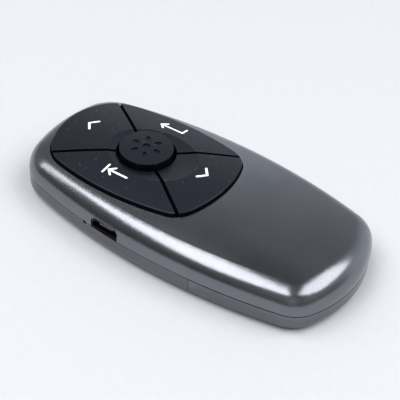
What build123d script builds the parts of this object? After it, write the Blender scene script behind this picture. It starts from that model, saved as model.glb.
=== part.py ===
from build123d import *
import os
from collections import namedtuple
from math import cos, hypot, radians, sin, sqrt

# Wireless presentation clicker, in millimetres.
# X runs from the laser end (head, -X) to the receiver end (tail, +X).
# Y runs across, with the charging port on the -Y side. Z is up from the resting face.
# The origin is on the resting face, under the middle of the overall length.
# A name that ends in _SHARE is a part of another size: of the body's LENGTH for places and lengths
# along X, and of its WIDTH for those along Y, unless its comment says otherwise.

os.makedirs("parts", exist_ok=True)

# ---------------------------------------------------------------- body envelope
LENGTH = 84.0                   # head end to tail end
WIDTH = 43.4                    # across the widest place
HEIGHT = 13.0                   # resting face to the top of the crown
WIDEST_X = -0.6                 # where the body is widest
SIDE_RADIUS = 140.0             # long sides, in plan
HEAD_RADIUS = 56.0              # head end, in plan
HEAD_CORNER_RADIUS = 10.8
TAIL_RADIUS = 29.0              # tail end, in plan
TAIL_CORNER_RADIUS = 8.3
CROWN_FALL_ALONG = 1.75         # top surface, from the middle to either end
CROWN_FALL_ACROSS = 3.0         # the same, from the middle to either side
SHOULDER_RADIUS = 5.2           # top surface to side wall
BOTTOM_ROUND = 2.7              # side wall to resting face
INNER_ROUND_LEAST = 0.3         # the same edge inside the wall, however thick that is

# ---------------------------------------------------------------- shells
WALL = 1.3
FLOOR = 1.3
SEAM_UNDER_BOARD = 0.05         # where the shells meet, below the board's top
SEAM_GAP = 0.12
LIP_THICKNESS = 0.6             # tongue of the bottom shell inside the top shell
LIP_HEIGHT = 0.8
LIP_CLEARANCE = 0.08
SNAP_DEPTH = 0.3                # snap ridge on the tongue
SNAP_HEIGHT = 0.35
HEAD_SNAP_WIDTH = 14.0
SIDE_SNAP_LENGTH = 8.0
SIDE_SNAP_X_SHARE = -0.3452

# ---------------------------------------------------------------- keypad
BUTTON_X_SHARE = -0.1786        # middle of the round button and of the keypad
PAD_HEAD_SHARE = 0.275          # keypad edge from the button's middle, towards the head
PAD_TAIL_SHARE = 0.2655         # the same, towards the tail
PAD_WIDTH_SHARE = 0.7189
PAD_SIDE_RADIUS = 70.0
PAD_HEAD_RADIUS = 20.0
PAD_HEAD_CORNER_RADIUS = 9.0
PAD_TAIL_RADIUS = 25.0
PAD_TAIL_CORNER_RADIUS = 7.0
PAD_RISE = 0.9                  # keys above the crown
PAD_EDGE_ROUND = 0.3
KEY_GAP = 0.3                   # keys to the shell's opening
DIVIDER_GAP = 0.8               # key to key
DIVIDER_ANGLE = 35.0            # gaps between keys, from the X axis
DISH_RADIUS = 74.0              # hollow around the round button
DISH_DEPTH = 1.0                # at the button's middle
KEY_TRAVEL = 0.5
KEY_ROOF = 1.2                  # underside of a key, below the crown surface
KEY_SKIRT = 1.2                 # side walls of a key
KEY_LIP_REACH = 0.6             # retaining lip under the shell
KEY_LIP_THICKNESS = 0.5
KEY_LIP_GAP = 0.15              # lip to the shell's underside
STEM_DIAMETER = 3.0
STEM_CLEARANCE = 0.15
STEM_ROOTING = 0.3              # stem into the key's roof
STEM_ALONG_SHARE = 0.1452       # stems of the head and tail keys, from the button's middle
STEM_ACROSS_SHARE = 0.2604      # stems of the two side keys

# ---------------------------------------------------------------- round button
BUTTON_DIAMETER = 12.7
BUTTON_GAP = 0.8                # button to the keys around it
BUTTON_TOP_Z = 14.4             # rim of the dome
BUTTON_DOME = 0.5               # dome above its rim
BUTTON_ROOF = 1.6
BUTTON_SKIRT = 1.1
BUTTON_FLANGE_REACH = 1.2       # flange past the hole it is held in
BUTTON_FLANGE_THICKNESS = 0.6
BUTTON_FLANGE_CLEARANCE = 0.15
DIMPLE_COUNT = 6
DIMPLE_RING_RADIUS = 3.0
DIMPLE_LENGTH = 1.7
DIMPLE_WIDTH = 1.1
DIMPLE_DEPTH = 0.3
CENTRE_DIMPLE_DIAMETER = 1.8

# ---------------------------------------------------------------- keypad tray
TRAY_THICKNESS = 0.8
TRAY_CLEARANCE = 0.2            # pressed key or button to tray
TRAY_RIM = 0.6
TRAY_RIM_CLEARANCE = 0.3        # key lip to the tray's rim
TRAY_SEAT_GAP = 0.08            # rim to the shell's underside
TRAY_EAR_DIAMETER = 4.2
TRAY_ARM_ROOT = 3.5             # arm of an ear, inwards from the keypad's tail edge
TRAY_EAR_Y_SHARE = 0.2581
TRAY_RELIEF = 0.3               # room over what stands high under the tray

# ---------------------------------------------------------------- circuit board and battery
TAPE_THICKNESS = 0.2
TAPE_MARGIN = 2.0               # tape's edge inside the battery's
BATTERY_LENGTH_SHARE = 0.381
BATTERY_WIDTH_SHARE = 0.576
BATTERY_HEAD_X_SHARE = -0.3036
BATTERY_ROUND_SHARE = 0.4       # of its thickness
HEIGHT_BESIDE_BATTERY = 10.5    # all of the body's height but the battery's thickness
BATTERY_GAP = 0.2               # battery to board
TAB_WIDTH = 3.0
TAB_THICKNESS = 0.15
TAB_REACH = 1.8
TAB_SPACING = 8.0
BOARD_THICKNESS = 1.0
BOARD_INSET = 2.6               # board edge inside the outer surface
BOARD_HEAD_X_SHARE = -0.3631
BOARD_TAIL_X_SHARE = 0.131
BOARD_BOSS_DIAMETER = 3.8
BOARD_HOLE_DIAMETER = 1.8
BOARD_SCREW_SHARES = ((-0.3369, 0.2419), (0.1048, 0.3341))      # X and Y of the head and tail pairs

# ---------------------------------------------------------------- tact switches
SWITCH_SIDE = 4.5
SWITCH_HEIGHT = 1.9
SWITCH_TERMINAL_REACH = 0.5
SWITCH_TERMINAL_WIDTH = 2.2
SWITCH_TERMINAL_THICKNESS = 0.3
PLUNGER_DIAMETER = 2.2
PLUNGER_CLEARANCE = 0.1
PLUNGER_PROUD = 0.6
PLUNGER_SUNK = 0.6
WELL_FLOOR_GAP = 0.15           # pressed plunger to the bottom of its well

# ---------------------------------------------------------------- screws (diameter of thread)
SHELL_SCREW = 2.0
SHELL_SCREW_LENGTH = 6.0
SHELL_SCREW_HEAD = 3.4
SHELL_SCREW_HEAD_THICKNESS = 0.8
SHELL_SCREW_X_SHARE = 0.2
SHELL_SCREW_Y_SHARE = 0.3364
BOSS_DIAMETER = 4.4
SMALL_SCREW = 1.6
SMALL_SCREW_LENGTH = 2.8
SMALL_SCREW_HEAD = 2.8
SMALL_SCREW_HEAD_THICKNESS = 0.7
TRAY_SCREW_LENGTH = 2.3
CLAMP_SCREW = 1.0
CLAMP_SCREW_LENGTH = 2.6
CLAMP_SCREW_HEAD = 1.8
CLAMP_SCREW_HEAD_THICKNESS = 0.5
THREAD_CLEARANCE = 0.05
HOLE_END = 0.3                  # blind hole past a screw's tip
RECESS_WIDTH_SHARE = 0.22       # cross recess arm, as a share of the head's diameter
RECESS_LENGTH_SHARE = 0.6
RECESS_DEPTH_SHARE = 0.6        # share of the head's thickness

# ---------------------------------------------------------------- charging port and status light
PORT_X_SHARE = -0.125
PORT_WIDTH = 7.5
PORT_HEIGHT = 2.45
PORT_CORNER_RUN = 0.9           # slanted upper corners, along X
PORT_CORNER_DROP = 0.6          # the same, down
PORT_METAL = 0.25
PORT_DEPTH = 5.2
PORT_RECESS = 0.45              # mouth behind the outer surface
PORT_CLEARANCE = 0.15
PORT_TONGUE_WIDTH = 3.7
PORT_TONGUE_THICKNESS = 0.6
PORT_TONGUE_DROP = 0.45         # tongue below the port's ceiling
PORT_TONGUE_RECESS = 0.5
PORT_BACK = 1.4                 # insulator at the back
PORT_CONTACTS = 5
PORT_CONTACT_PITCH = 0.65
PORT_CONTACT_WIDTH = 0.35
PORT_CONTACT_THICKNESS = 0.1
LED_X_SHARE = -0.1952
LED_HOLE_WIDTH = 0.9
LED_HOLE_HEIGHT = 0.9
LED_HOLE_DROP = 0.6             # its lower edge below the board's top
LED_PIPE_CLEARANCE = 0.08
LED_PIPE_RECESS = 0.25
LED_LENGTH = 1.6
LED_WIDTH = 0.8
LED_HEIGHT = 0.6
LED_EDGE = 0.2                  # from the board's edge
LED_GAP = 0.2                   # light to light pipe

# ---------------------------------------------------------------- power switch
POWER_X_SHARE = -0.125
POWER_TRAVEL = 2.0
POWER_BODY_LENGTH = 8.0
POWER_BODY_DEPTH = 3.0
POWER_BODY_HEIGHT = 2.0
POWER_BODY_EDGE = 0.2
POWER_KNOB_LENGTH = 3.0
POWER_KNOB_HEIGHT = 1.5
POWER_KNOB_PROUD = 0.3
POWER_KNOB_SUNK = 0.5           # knob past the wall's inner face
POWER_STEM_LENGTH = 1.6
POWER_STEM_HEIGHT = 1.0
POWER_STEM_SUNK = 1.3
POWER_CLEARANCE = 0.12
POWER_GRIPS = 3
POWER_GRIP_WIDTH = 0.3
POWER_GRIP_DEPTH = 0.25

# ---------------------------------------------------------------- laser
LASER_DIAMETER = 4.0
LASER_LENGTH_SHARE = 0.1071
LASER_WINDOW_DIAMETER = 3.6
LASER_WINDOW_THICKNESS = 0.7
LASER_APERTURE_DIAMETER = 2.6
LASER_APERTURE_DEPTH = 0.6
LASER_GAP = 0.15                # window to barrel
LASER_LENS_DIAMETER = 2.6
LASER_LENS_THICKNESS = 0.6
LASER_BORE_DIAMETER = 1.8
LASER_SEAT_CLEARANCE = 0.05
LASER_LEAD_DIAMETER = 0.45
LASER_LEAD_SPACING = 2.0
LASER_LEAD_GAP = 0.35           # leads' ends to the nearest switch
CLAMP_X_SHARE = -0.4107
CLAMP_LENGTH = 2.8
CLAMP_THICKNESS = 0.5
CLAMP_FOOT_WIDTH = 2.4
CRADLE_RIB_X_SHARE = -0.4595
CRADLE_RIB_LENGTH = 1.0
CRADLE_RIB_WIDTH = 6.4

# ---------------------------------------------------------------- chips on the board
Chip = namedtuple("Chip", "x_share y_share length width height")
RADIO_SIDE = 5.0
RADIO_HEIGHT = 0.9
CRYSTAL_LENGTH = 3.2
CRYSTAL_WIDTH = 2.5
CRYSTAL_HEIGHT = 0.8
CHARGER_SIDE = 3.0
CHARGER_HEIGHT = 1.0
ANTENNA_LENGTH = 2.0
ANTENNA_WIDTH = 6.5
ANTENNA_HEIGHT = 1.1
CHIPS = {
    "radio_chip": Chip(0.0536, -0.1613, RADIO_SIDE, RADIO_SIDE, RADIO_HEIGHT),
    "crystal": Chip(0.0536, -0.2995, CRYSTAL_LENGTH, CRYSTAL_WIDTH, CRYSTAL_HEIGHT),
    "charger_chip": Chip(-0.0298, -0.3502, CHARGER_SIDE, CHARGER_SIDE, CHARGER_HEIGHT),
    "chip_antenna": Chip(0.0536, 0.2765, ANTENNA_LENGTH, ANTENNA_WIDTH, ANTENNA_HEIGHT),
}

# ---------------------------------------------------------------- receiver, its bay and its cover
COVER_FRONT_X_SHARE = 0.15
COVER_GAP = 0.12                # cover's front edge to the bottom shell
COVER_SEAM_GAP = 0.22           # cover to the top shell
COVER_INNER_GAP = 0.3           # cover's wall to the chassis wall
COVER_FLOOR = 1.3
CHASSIS_Z = 2.9                 # underside of the chassis over the cover
CHASSIS_THICKNESS = 1.2
CHASSIS_WALL = 1.0
CHASSIS_LIP_HEIGHT = 0.8
RAIL_Y = 9.6                    # inner face of a rail
RAIL_WEB = 0.8
RAIL_FLANGE = 1.0
RAIL_FLANGE_THICKNESS = 0.6
RAIL_FLOOR_GAP = 0.25
RAIL_SCREW_GAP = 0.4            # rails to the shell screws' heads
RAIL_LENGTH = 15.0
HOOK_CLEARANCE = 0.15
HOOK_WEB = 0.8
HOOK_FLANGE_THICKNESS = 0.45
GRIP_COUNT = 5
GRIP_PITCH = 1.6
GRIP_WIDTH = 0.7
GRIP_DEPTH = 0.3
GRIP_LENGTH = 12.0
GRIP_FROM_FRONT = 4.4           # first groove from the cover's front edge
RECEIVER_TAIL_ROOM = 5.8        # stored receiver to the body's tail end
RECEIVER_CASE_LENGTH = 7.0
RECEIVER_CASE_WIDTH = 15.0
RECEIVER_CASE_HEIGHT = 6.2
RECEIVER_CASE_ROUND = 1.2
RECEIVER_FLOOR_GAP = 0.3        # stored receiver above the cover's floor
PLUG_LENGTH = 11.8
PLUG_WIDTH = 12.0
PLUG_HEIGHT = 4.5
PLUG_METAL = 0.3
PLUG_WINDOW = 2.0
PLUG_WINDOW_SPACING = 4.6
PLUG_WINDOW_REACH = 5.2         # from the plug's mouth to its windows' middles
PLUG_TONGUE_THICKNESS = 1.9
PLUG_TONGUE_RECESS = 0.4
PLUG_TONGUE_CLEARANCE = 0.05
PLUG_CONTACT_COUNT = 4
PLUG_CONTACT_PITCH = 2.3
PLUG_CONTACT_WIDTH = 1.1
PLUG_CONTACT_LENGTH = 7.0
PLUG_CONTACT_THICKNESS = 0.12
BAY_CLEARANCE = 0.3
BAY_WALL = 1.0
BAY_RIB_CLEARANCE = 0.1
BAY_RIB_LENGTH = 2.0
BAY_RIB_REACH = 5.6             # from the plug's mouth

# ---------------------------------------------------------------- derived places
CROWN_RADIUS_ALONG = (LENGTH / 2) ** 2 / (2 * CROWN_FALL_ALONG)
CROWN_RADIUS_ACROSS = (WIDTH / 2) ** 2 / (2 * CROWN_FALL_ACROSS)
BUTTON_X = LENGTH * BUTTON_X_SHARE
PAD_HEAD_REACH = LENGTH * PAD_HEAD_SHARE
PAD_TAIL_REACH = LENGTH * PAD_TAIL_SHARE
PAD_WIDTH = WIDTH * PAD_WIDTH_SHARE
STEM_REACH_ALONG = LENGTH * STEM_ALONG_SHARE
STEM_REACH_ACROSS = WIDTH * STEM_ACROSS_SHARE
SIDE_SNAP_X = LENGTH * SIDE_SNAP_X_SHARE
TRAY_EAR_Y = WIDTH * TRAY_EAR_Y_SHARE
PORT_X = LENGTH * PORT_X_SHARE
LED_X = LENGTH * LED_X_SHARE
POWER_X = LENGTH * POWER_X_SHARE
BOARD_HEAD_X = LENGTH * BOARD_HEAD_X_SHARE
BOARD_TAIL_X = LENGTH * BOARD_TAIL_X_SHARE
BATTERY_LENGTH = LENGTH * BATTERY_LENGTH_SHARE
BATTERY_WIDTH = WIDTH * BATTERY_WIDTH_SHARE
BATTERY_THICKNESS = HEIGHT - HEIGHT_BESIDE_BATTERY
BATTERY_HEAD_X = LENGTH * BATTERY_HEAD_X_SHARE
CLAMP_X = LENGTH * CLAMP_X_SHARE
CRADLE_RIB_X = LENGTH * CRADLE_RIB_X_SHARE
SHELL_SCREW_X = LENGTH * SHELL_SCREW_X_SHARE
SHELL_SCREW_Y = WIDTH * SHELL_SCREW_Y_SHARE
COVER_FRONT_X = LENGTH * COVER_FRONT_X_SHARE
RAIL_HEAD_X = SHELL_SCREW_X + SHELL_SCREW_HEAD / 2 + RAIL_SCREW_GAP

Outline = namedtuple("Outline", "head_x tail_x half_width widest_x side_radius "
                                "head_radius head_corner tail_radius tail_corner")
BODY = Outline(-LENGTH / 2, LENGTH / 2, WIDTH / 2, WIDEST_X, SIDE_RADIUS,
               HEAD_RADIUS, HEAD_CORNER_RADIUS, TAIL_RADIUS, TAIL_CORNER_RADIUS)
PAD = Outline(BUTTON_X - PAD_HEAD_REACH, BUTTON_X + PAD_TAIL_REACH, PAD_WIDTH / 2, BUTTON_X,
              PAD_SIDE_RADIUS, PAD_HEAD_RADIUS, PAD_HEAD_CORNER_RADIUS,
              PAD_TAIL_RADIUS, PAD_TAIL_CORNER_RADIUS)

CUT_PAST = 1.0                  # how far a cutting solid runs past what it cuts
CROWN_MARGIN = 4.0              # crown surface past the body's box
BELOW = -6.0                    # clear of everything underneath
ABOVE = HEIGHT + 8.0            # clear of everything on top
INNER_ROUND = max(BOTTOM_ROUND - WALL, INNER_ROUND_LEAST)

BATTERY_Z = FLOOR + TAPE_THICKNESS
BOARD_Z = BATTERY_Z + BATTERY_THICKNESS + BATTERY_GAP
BOARD_TOP = BOARD_Z + BOARD_THICKNESS
SEAM_Z = BOARD_TOP - SEAM_UNDER_BOARD
TOP_SHELL_Z = SEAM_Z + SEAM_GAP / 2
BOTTOM_SHELL_Z = SEAM_Z - SEAM_GAP / 2
LED_HOLE_LOW_Z = BOARD_TOP - LED_HOLE_DROP
SWITCH_TOP = BOARD_TOP + SWITCH_HEIGHT
PLUNGER_TOP = SWITCH_TOP + PLUNGER_PROUD

KEY_LIP_TOP = WALL + KEY_LIP_GAP                    # these four are depths below the crown
KEY_FOOT = KEY_LIP_TOP + KEY_LIP_THICKNESS
TRAY_TOP = KEY_FOOT + KEY_TRAVEL + TRAY_CLEARANCE
TRAY_FOOT = TRAY_TOP + TRAY_THICKNESS
PAD_LIP_OUTSET = KEY_GAP + KEY_LIP_REACH
TRAY_RIM_INNER = PAD_LIP_OUTSET + TRAY_RIM_CLEARANCE
TRAY_OUTSET = TRAY_RIM_INNER + TRAY_RIM

BUTTON_RADIUS = BUTTON_DIAMETER / 2
BUTTON_HOLE_RADIUS = BUTTON_RADIUS + BUTTON_GAP
FLANGE_RADIUS = BUTTON_HOLE_RADIUS + BUTTON_FLANGE_REACH

LASER_Z = SEAM_Z
LASER_RADIUS = LASER_DIAMETER / 2
WINDOW_X = -LENGTH / 2 + LASER_APERTURE_DEPTH
LASER_X = WINDOW_X + LASER_WINDOW_THICKNESS + LASER_GAP
LASER_LENGTH = LENGTH * LASER_LENGTH_SHARE
LASER_TAIL_X = LASER_X + LASER_LENGTH
LEAD_TAIL_X = BUTTON_X - STEM_REACH_ALONG - SWITCH_SIDE / 2 - LASER_LEAD_GAP
LEAD_Z = BOARD_TOP + LASER_LEAD_DIAMETER / 2

RECEIVER_Z = COVER_FLOOR + RECEIVER_FLOOR_GAP
RECEIVER_TAIL_X = LENGTH / 2 - RECEIVER_TAIL_ROOM
PLUG_TAIL_X = RECEIVER_TAIL_X - RECEIVER_CASE_LENGTH
RECEIVER_X = PLUG_TAIL_X - PLUG_LENGTH              # mouth of its plug
BAY_RIB_X = RECEIVER_X + BAY_RIB_REACH
PLUG_MID_Z = RECEIVER_Z + RECEIVER_CASE_HEIGHT / 2
BAY_CEILING = RECEIVER_Z + RECEIVER_CASE_HEIGHT + BAY_CLEARANCE
BAY_HALF_WIDTH = RECEIVER_CASE_WIDTH / 2 + BAY_CLEARANCE
CHASSIS_TOP = CHASSIS_Z + CHASSIS_THICKNESS
CHASSIS_INSET = WALL + COVER_INNER_GAP
STEP_X = COVER_FRONT_X - COVER_GAP                  # tail face of the bottom shell's outer part

# name: (direction of the key from the button, half of its angle, how far out its stem is)
KEYS = {
    "previous": (180.0, DIVIDER_ANGLE, STEM_REACH_ALONG),
    "next": (0.0, DIVIDER_ANGLE, STEM_REACH_ALONG),
    "enter": (90.0, 90.0 - DIVIDER_ANGLE, STEM_REACH_ACROSS),
    "tab": (-90.0, 90.0 - DIVIDER_ANGLE, STEM_REACH_ACROSS),
}


# ---------------------------------------------------------------- shared geometry
def circles_meet(centre_a, radius_a, centre_b, radius_b, towards):
    """The meeting point of two circles that lies towards -X (-1) or +X (+1)."""
    dx, dy = centre_b[0] - centre_a[0], centre_b[1] - centre_a[1]
    apart = hypot(dx, dy)
    along = (radius_a ** 2 - radius_b ** 2 + apart ** 2) / (2 * apart)
    aside = sqrt(radius_a ** 2 - along ** 2)
    foot = (centre_a[0] + along * dx / apart, centre_a[1] + along * dy / apart)
    points = [(foot[0] + s * aside * dy / apart, foot[1] - s * aside * dx / apart) for s in (-1, 1)]
    return max(points, key=lambda point: towards * point[0])


def on_circle(centre, towards, radius):
    """The point of a circle that lies from its centre towards another point."""
    dx, dy = towards[0] - centre[0], towards[1] - centre[1]
    reach = hypot(dx, dy)
    return (centre[0] + dx * radius / reach, centre[1] + dy * radius / reach)


def end_points(shape, end_x, end_radius, corner_radius, inset, sign):
    """On one end's upper half: where its arc stops, the middle of the corner, where the side starts."""
    side_centre = (shape.widest_x, shape.half_width - shape.side_radius)
    end_centre = (end_x - sign * end_radius, 0.0)
    corner = circles_meet(side_centre, shape.side_radius - corner_radius,
                          end_centre, end_radius - corner_radius, sign)
    stop = on_circle(end_centre, corner, end_radius - inset)
    start = on_circle(side_centre, corner, shape.side_radius - inset)
    chord_middle = ((stop[0] + start[0]) / 2, (stop[1] + start[1]) / 2)
    return stop, on_circle(corner, chord_middle, corner_radius - inset), start


def outline_face(shape, inset=0.0):
    """Barrel-shaped plan made of eight tangent arcs, moved in by inset."""
    head_end, head_mid, head_side = end_points(shape, shape.head_x, shape.head_radius,
                                               shape.head_corner, inset, -1)
    tail_end, tail_mid, tail_side = end_points(shape, shape.tail_x, shape.tail_radius,
                                               shape.tail_corner, inset, 1)
    side_mid = (shape.widest_x, shape.half_width - inset)

    def mirrored(point):
        return (point[0], -point[1])

    arcs = [ThreePointArc(mirrored(head_end), (shape.head_x + inset, 0.0), head_end),
            ThreePointArc(head_end, head_mid, head_side),
            ThreePointArc(head_side, side_mid, tail_side),
            ThreePointArc(tail_side, tail_mid, tail_end),
            ThreePointArc(tail_end, (shape.tail_x - inset, 0.0), mirrored(tail_end)),
            ThreePointArc(mirrored(tail_end), mirrored(tail_mid), mirrored(tail_side)),
            ThreePointArc(mirrored(tail_side), mirrored(side_mid), mirrored(head_side)),
            ThreePointArc(mirrored(head_side), mirrored(head_mid), mirrored(head_end))]
    return Face(Wire(arcs))


def side_y(x, inset=0.0):
    """Half width of the body at x, between its corners."""
    radius = SIDE_RADIUS - inset
    return WIDTH / 2 - SIDE_RADIUS + sqrt(radius ** 2 - (x - WIDEST_X) ** 2)


def prism(face, low, high):
    """A plan face made solid between two heights."""
    return extrude(face.moved(Location((0, 0, low))), amount=high - low, dir=(0, 0, 1))


def block(x_range, y_range, z_range):
    """A box between pairs of limits."""
    sizes = [high - low for low, high in (x_range, y_range, z_range)]
    middles = [(high + low) / 2 for low, high in (x_range, y_range, z_range)]
    return Pos(*middles) * Box(*sizes)


def post(x, y, radius, low, high):
    """An upright cylinder."""
    return Pos(x, y, (low + high) / 2) * Cylinder(radius, high - low)


def rod(y, z, radius, x_low, x_high):
    """A cylinder along X."""
    return Pos((x_low + x_high) / 2, y, z) * Rot(0, 90, 0) * Cylinder(radius, x_high - x_low)


def crown_z(x, y, depth=0.0):
    """Height of the crown surface, sunk by depth."""
    return HEIGHT - depth - x ** 2 / (2 * CROWN_RADIUS_ALONG) - y ** 2 / (2 * CROWN_RADIUS_ACROSS)


def under_crown(depth):
    """Everything under the crown surface, sunk by depth (raised if negative)."""
    half_x, half_y = LENGTH / 2 + CROWN_MARGIN, WIDTH / 2 + CROWN_MARGIN
    along = half_x ** 2 / (2 * CROWN_RADIUS_ALONG)
    across = half_y ** 2 / (2 * CROWN_RADIUS_ACROSS)
    top_z = HEIGHT - depth
    rows = ((-half_x, -along), (0.0, along), (half_x, -along))
    columns = ((-half_y, -across), (0.0, across), (half_y, -across))
    points = [[(x, y, top_z + fall_x + fall_y) for y, fall_y in columns] for x, fall_x in rows]
    return extrude(Face.make_bezier_surface(points), amount=HEIGHT - BELOW, dir=(0, 0, -1))


def rounded_top(shape, inset, depth, radius):
    """A plan outline under the crown surface, with the edge between them rounded."""
    solid = (prism(outline_face(shape, inset), BELOW / 2, ABOVE) & under_crown(depth)).solids()[0]
    top = max(solid.faces(), key=lambda face: face.center().Z)
    return solid.fillet(radius, top.edges())


def body_form(inset):
    """The body's shape above the floor, shrunk by inset all round."""
    return rounded_top(BODY, inset, inset, SHOULDER_RADIUS - inset)


def base_form(inset, floor, radius):
    """The body's plan from the floor up, with its lower edge rounded."""
    solid = prism(outline_face(BODY, inset), floor, ABOVE)
    low = min(solid.faces(), key=lambda face: face.center().Z)
    return solid.solids()[0].fillet(radius, low.edges())


def ring(outer_inset, inner_inset, low, high):
    """A band that follows the body's plan."""
    outer = prism(outline_face(BODY, outer_inset), low, high)
    return outer - prism(outline_face(BODY, inner_inset), low, high)


def screw(x, y, seat_z, diameter, length, head, thickness, up):
    """A cross-recessed screw: its head rests at seat_z, and its thread runs up or down from there."""
    sign = 1 if up else -1
    tip_z = seat_z + sign * length
    head_z = seat_z - sign * thickness
    thread = post(x, y, diameter / 2, min(seat_z, tip_z), max(seat_z, tip_z))
    top = post(x, y, head / 2, min(seat_z, head_z), max(seat_z, head_z))
    arm = head * RECESS_LENGTH_SHARE
    cut = head * RECESS_WIDTH_SHARE
    sunk = 2 * thickness * RECESS_DEPTH_SHARE
    recess = Pos(x, y, head_z) * (Box(arm, cut, sunk) + Box(cut, arm, sunk))
    return (thread + top - recess).solids()[0]


def screw_hole(x, y, diameter, low, high):
    """The hole that a screw's thread turns into."""
    return post(x, y, diameter / 2 + THREAD_CLEARANCE, low, high)


def save(node, *solids):
    """Write one node, as one solid or as a group of separate solids."""
    pieces = [piece for shape in solids for piece in shape.solids()]
    shape = pieces[0] if len(pieces) == 1 else Compound(children=pieces)
    shape.label = node
    export_step(shape, "parts/" + node + ".step")


# ---------------------------------------------------------------- places shared by several pieces
def switch_places():
    """Where each key's stem and switch stand."""
    places = {"laser": (BUTTON_X, 0.0)}
    for name, (direction, _, reach) in KEYS.items():
        turn = radians(direction)
        places[name] = (BUTTON_X + reach * cos(turn), reach * sin(turn))
    return places


PLACES = switch_places()
BOARD_SCREWS = [(LENGTH * x_share, side * WIDTH * y_share)
                for x_share, y_share in BOARD_SCREW_SHARES for side in (-1, 1)]
SHELL_SCREWS = [(SHELL_SCREW_X, side * SHELL_SCREW_Y) for side in (-1, 1)]
TRAY_EAR_X = PAD.tail_x + TRAY_OUTSET + TRAY_EAR_DIAMETER / 2
TRAY_SCREWS = [(TRAY_EAR_X, side * TRAY_EAR_Y) for side in (-1, 1)]
TRAY_EAR_Z = crown_z(TRAY_EAR_X, TRAY_EAR_Y, TRAY_FOOT)             # underside of an ear
CLAMP_SCREW_Y = LASER_RADIUS + CLAMP_THICKNESS + CLAMP_FOOT_WIDTH / 2
CLAMP_FOOT_Z = LASER_Z - LASER_SEAT_CLEARANCE                      # clamp's feet on the cradle
POWER_Z = BOARD_TOP + POWER_BODY_HEIGHT / 2
POWER_REST_X = POWER_X - POWER_TRAVEL / 2

# The button's flange stays under the keys' roofs even when they are pressed, and the tray has a well for it.
FLANGE_LOW = (crown_z(BUTTON_X, FLANGE_RADIUS, KEY_ROOF) - KEY_TRAVEL - BUTTON_FLANGE_CLEARANCE
              - BUTTON_FLANGE_THICKNESS)
WELL_TOP = FLANGE_LOW - KEY_TRAVEL - TRAY_CLEARANCE

PORT_MOUTH_Y = -(side_y(PORT_X) - PORT_RECESS)
PORT_TOP = BOARD_TOP + PORT_HEIGHT


def port_profile(grow):
    """Section of the charging port, wider at the bottom, on the XZ plane."""
    half = PORT_WIDTH / 2 + grow
    low, high = BOARD_TOP - grow, PORT_TOP + grow
    points = [(PORT_X - half, low), (PORT_X + half, low), (PORT_X + half, high - PORT_CORNER_DROP),
              (PORT_X + half - PORT_CORNER_RUN, high), (PORT_X - half + PORT_CORNER_RUN, high),
              (PORT_X - half, high - PORT_CORNER_DROP)]
    return Face(Wire(Polyline(*[(x, 0, z) for x, z in points], close=True).edges()))


def port_prism(grow, y_low, y_high):
    """The charging port's section made solid along Y."""
    return extrude(port_profile(grow).moved(Location((0, y_low, 0))), amount=y_high - y_low, dir=(0, 1, 0))


def wall_cuts():
    """The openings that cross the seam: charging port, status light, power switch and laser."""
    outside = WIDTH / 2 + CUT_PAST
    port = port_prism(PORT_CLEARANCE, -outside, -side_y(PORT_X, WALL + CUT_PAST))
    light = block((LED_X - LED_HOLE_WIDTH / 2, LED_X + LED_HOLE_WIDTH / 2),
                  (-outside, -side_y(LED_X, WALL + CUT_PAST)),
                  (LED_HOLE_LOW_Z, LED_HOLE_LOW_Z + LED_HOLE_HEIGHT))
    half = (POWER_KNOB_LENGTH + POWER_TRAVEL) / 2 + POWER_CLEARANCE
    rise = POWER_KNOB_HEIGHT / 2 + POWER_CLEARANCE
    power = block((POWER_X - half, POWER_X + half), (side_y(POWER_X, WALL + CUT_PAST), outside),
                  (POWER_Z - rise, POWER_Z + rise))
    aperture = rod(0, LASER_Z, LASER_APERTURE_DIAMETER / 2,
                   -LENGTH / 2 - CUT_PAST, WINDOW_X + LASER_WINDOW_THICKNESS / 2)
    window = rod(0, LASER_Z, LASER_WINDOW_DIAMETER / 2 + LASER_SEAT_CLEARANCE,
                 WINDOW_X, -LENGTH / 2 + WALL + CUT_PAST)
    return [port, light, power, aperture, window]


# ---------------------------------------------------------------- casing
OUTER = body_form(0.0) & base_form(0.0, 0.0, BOTTOM_ROUND)
CAVITY = body_form(WALL)
WALL_CUTS = wall_cuts()


def cut_walls(shell):
    """A shell with the openings of its walls cut."""
    for cut in WALL_CUTS:
        shell -= cut
    return shell


def snap_bands(outer_inset, inner_inset, low, high, extra):
    """The stretches of the tongue that carry a snap ridge."""
    band = ring(outer_inset, inner_inset, low, high)
    half_head = HEAD_SNAP_WIDTH / 2 + extra
    half_side = SIDE_SNAP_LENGTH / 2 + extra
    head = block((-LENGTH, SIDE_SNAP_X), (-half_head, half_head), (low, high))
    sides = block((SIDE_SNAP_X - half_side, SIDE_SNAP_X + half_side), (-WIDTH, WIDTH), (low, high))
    return band & (head + sides)


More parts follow.
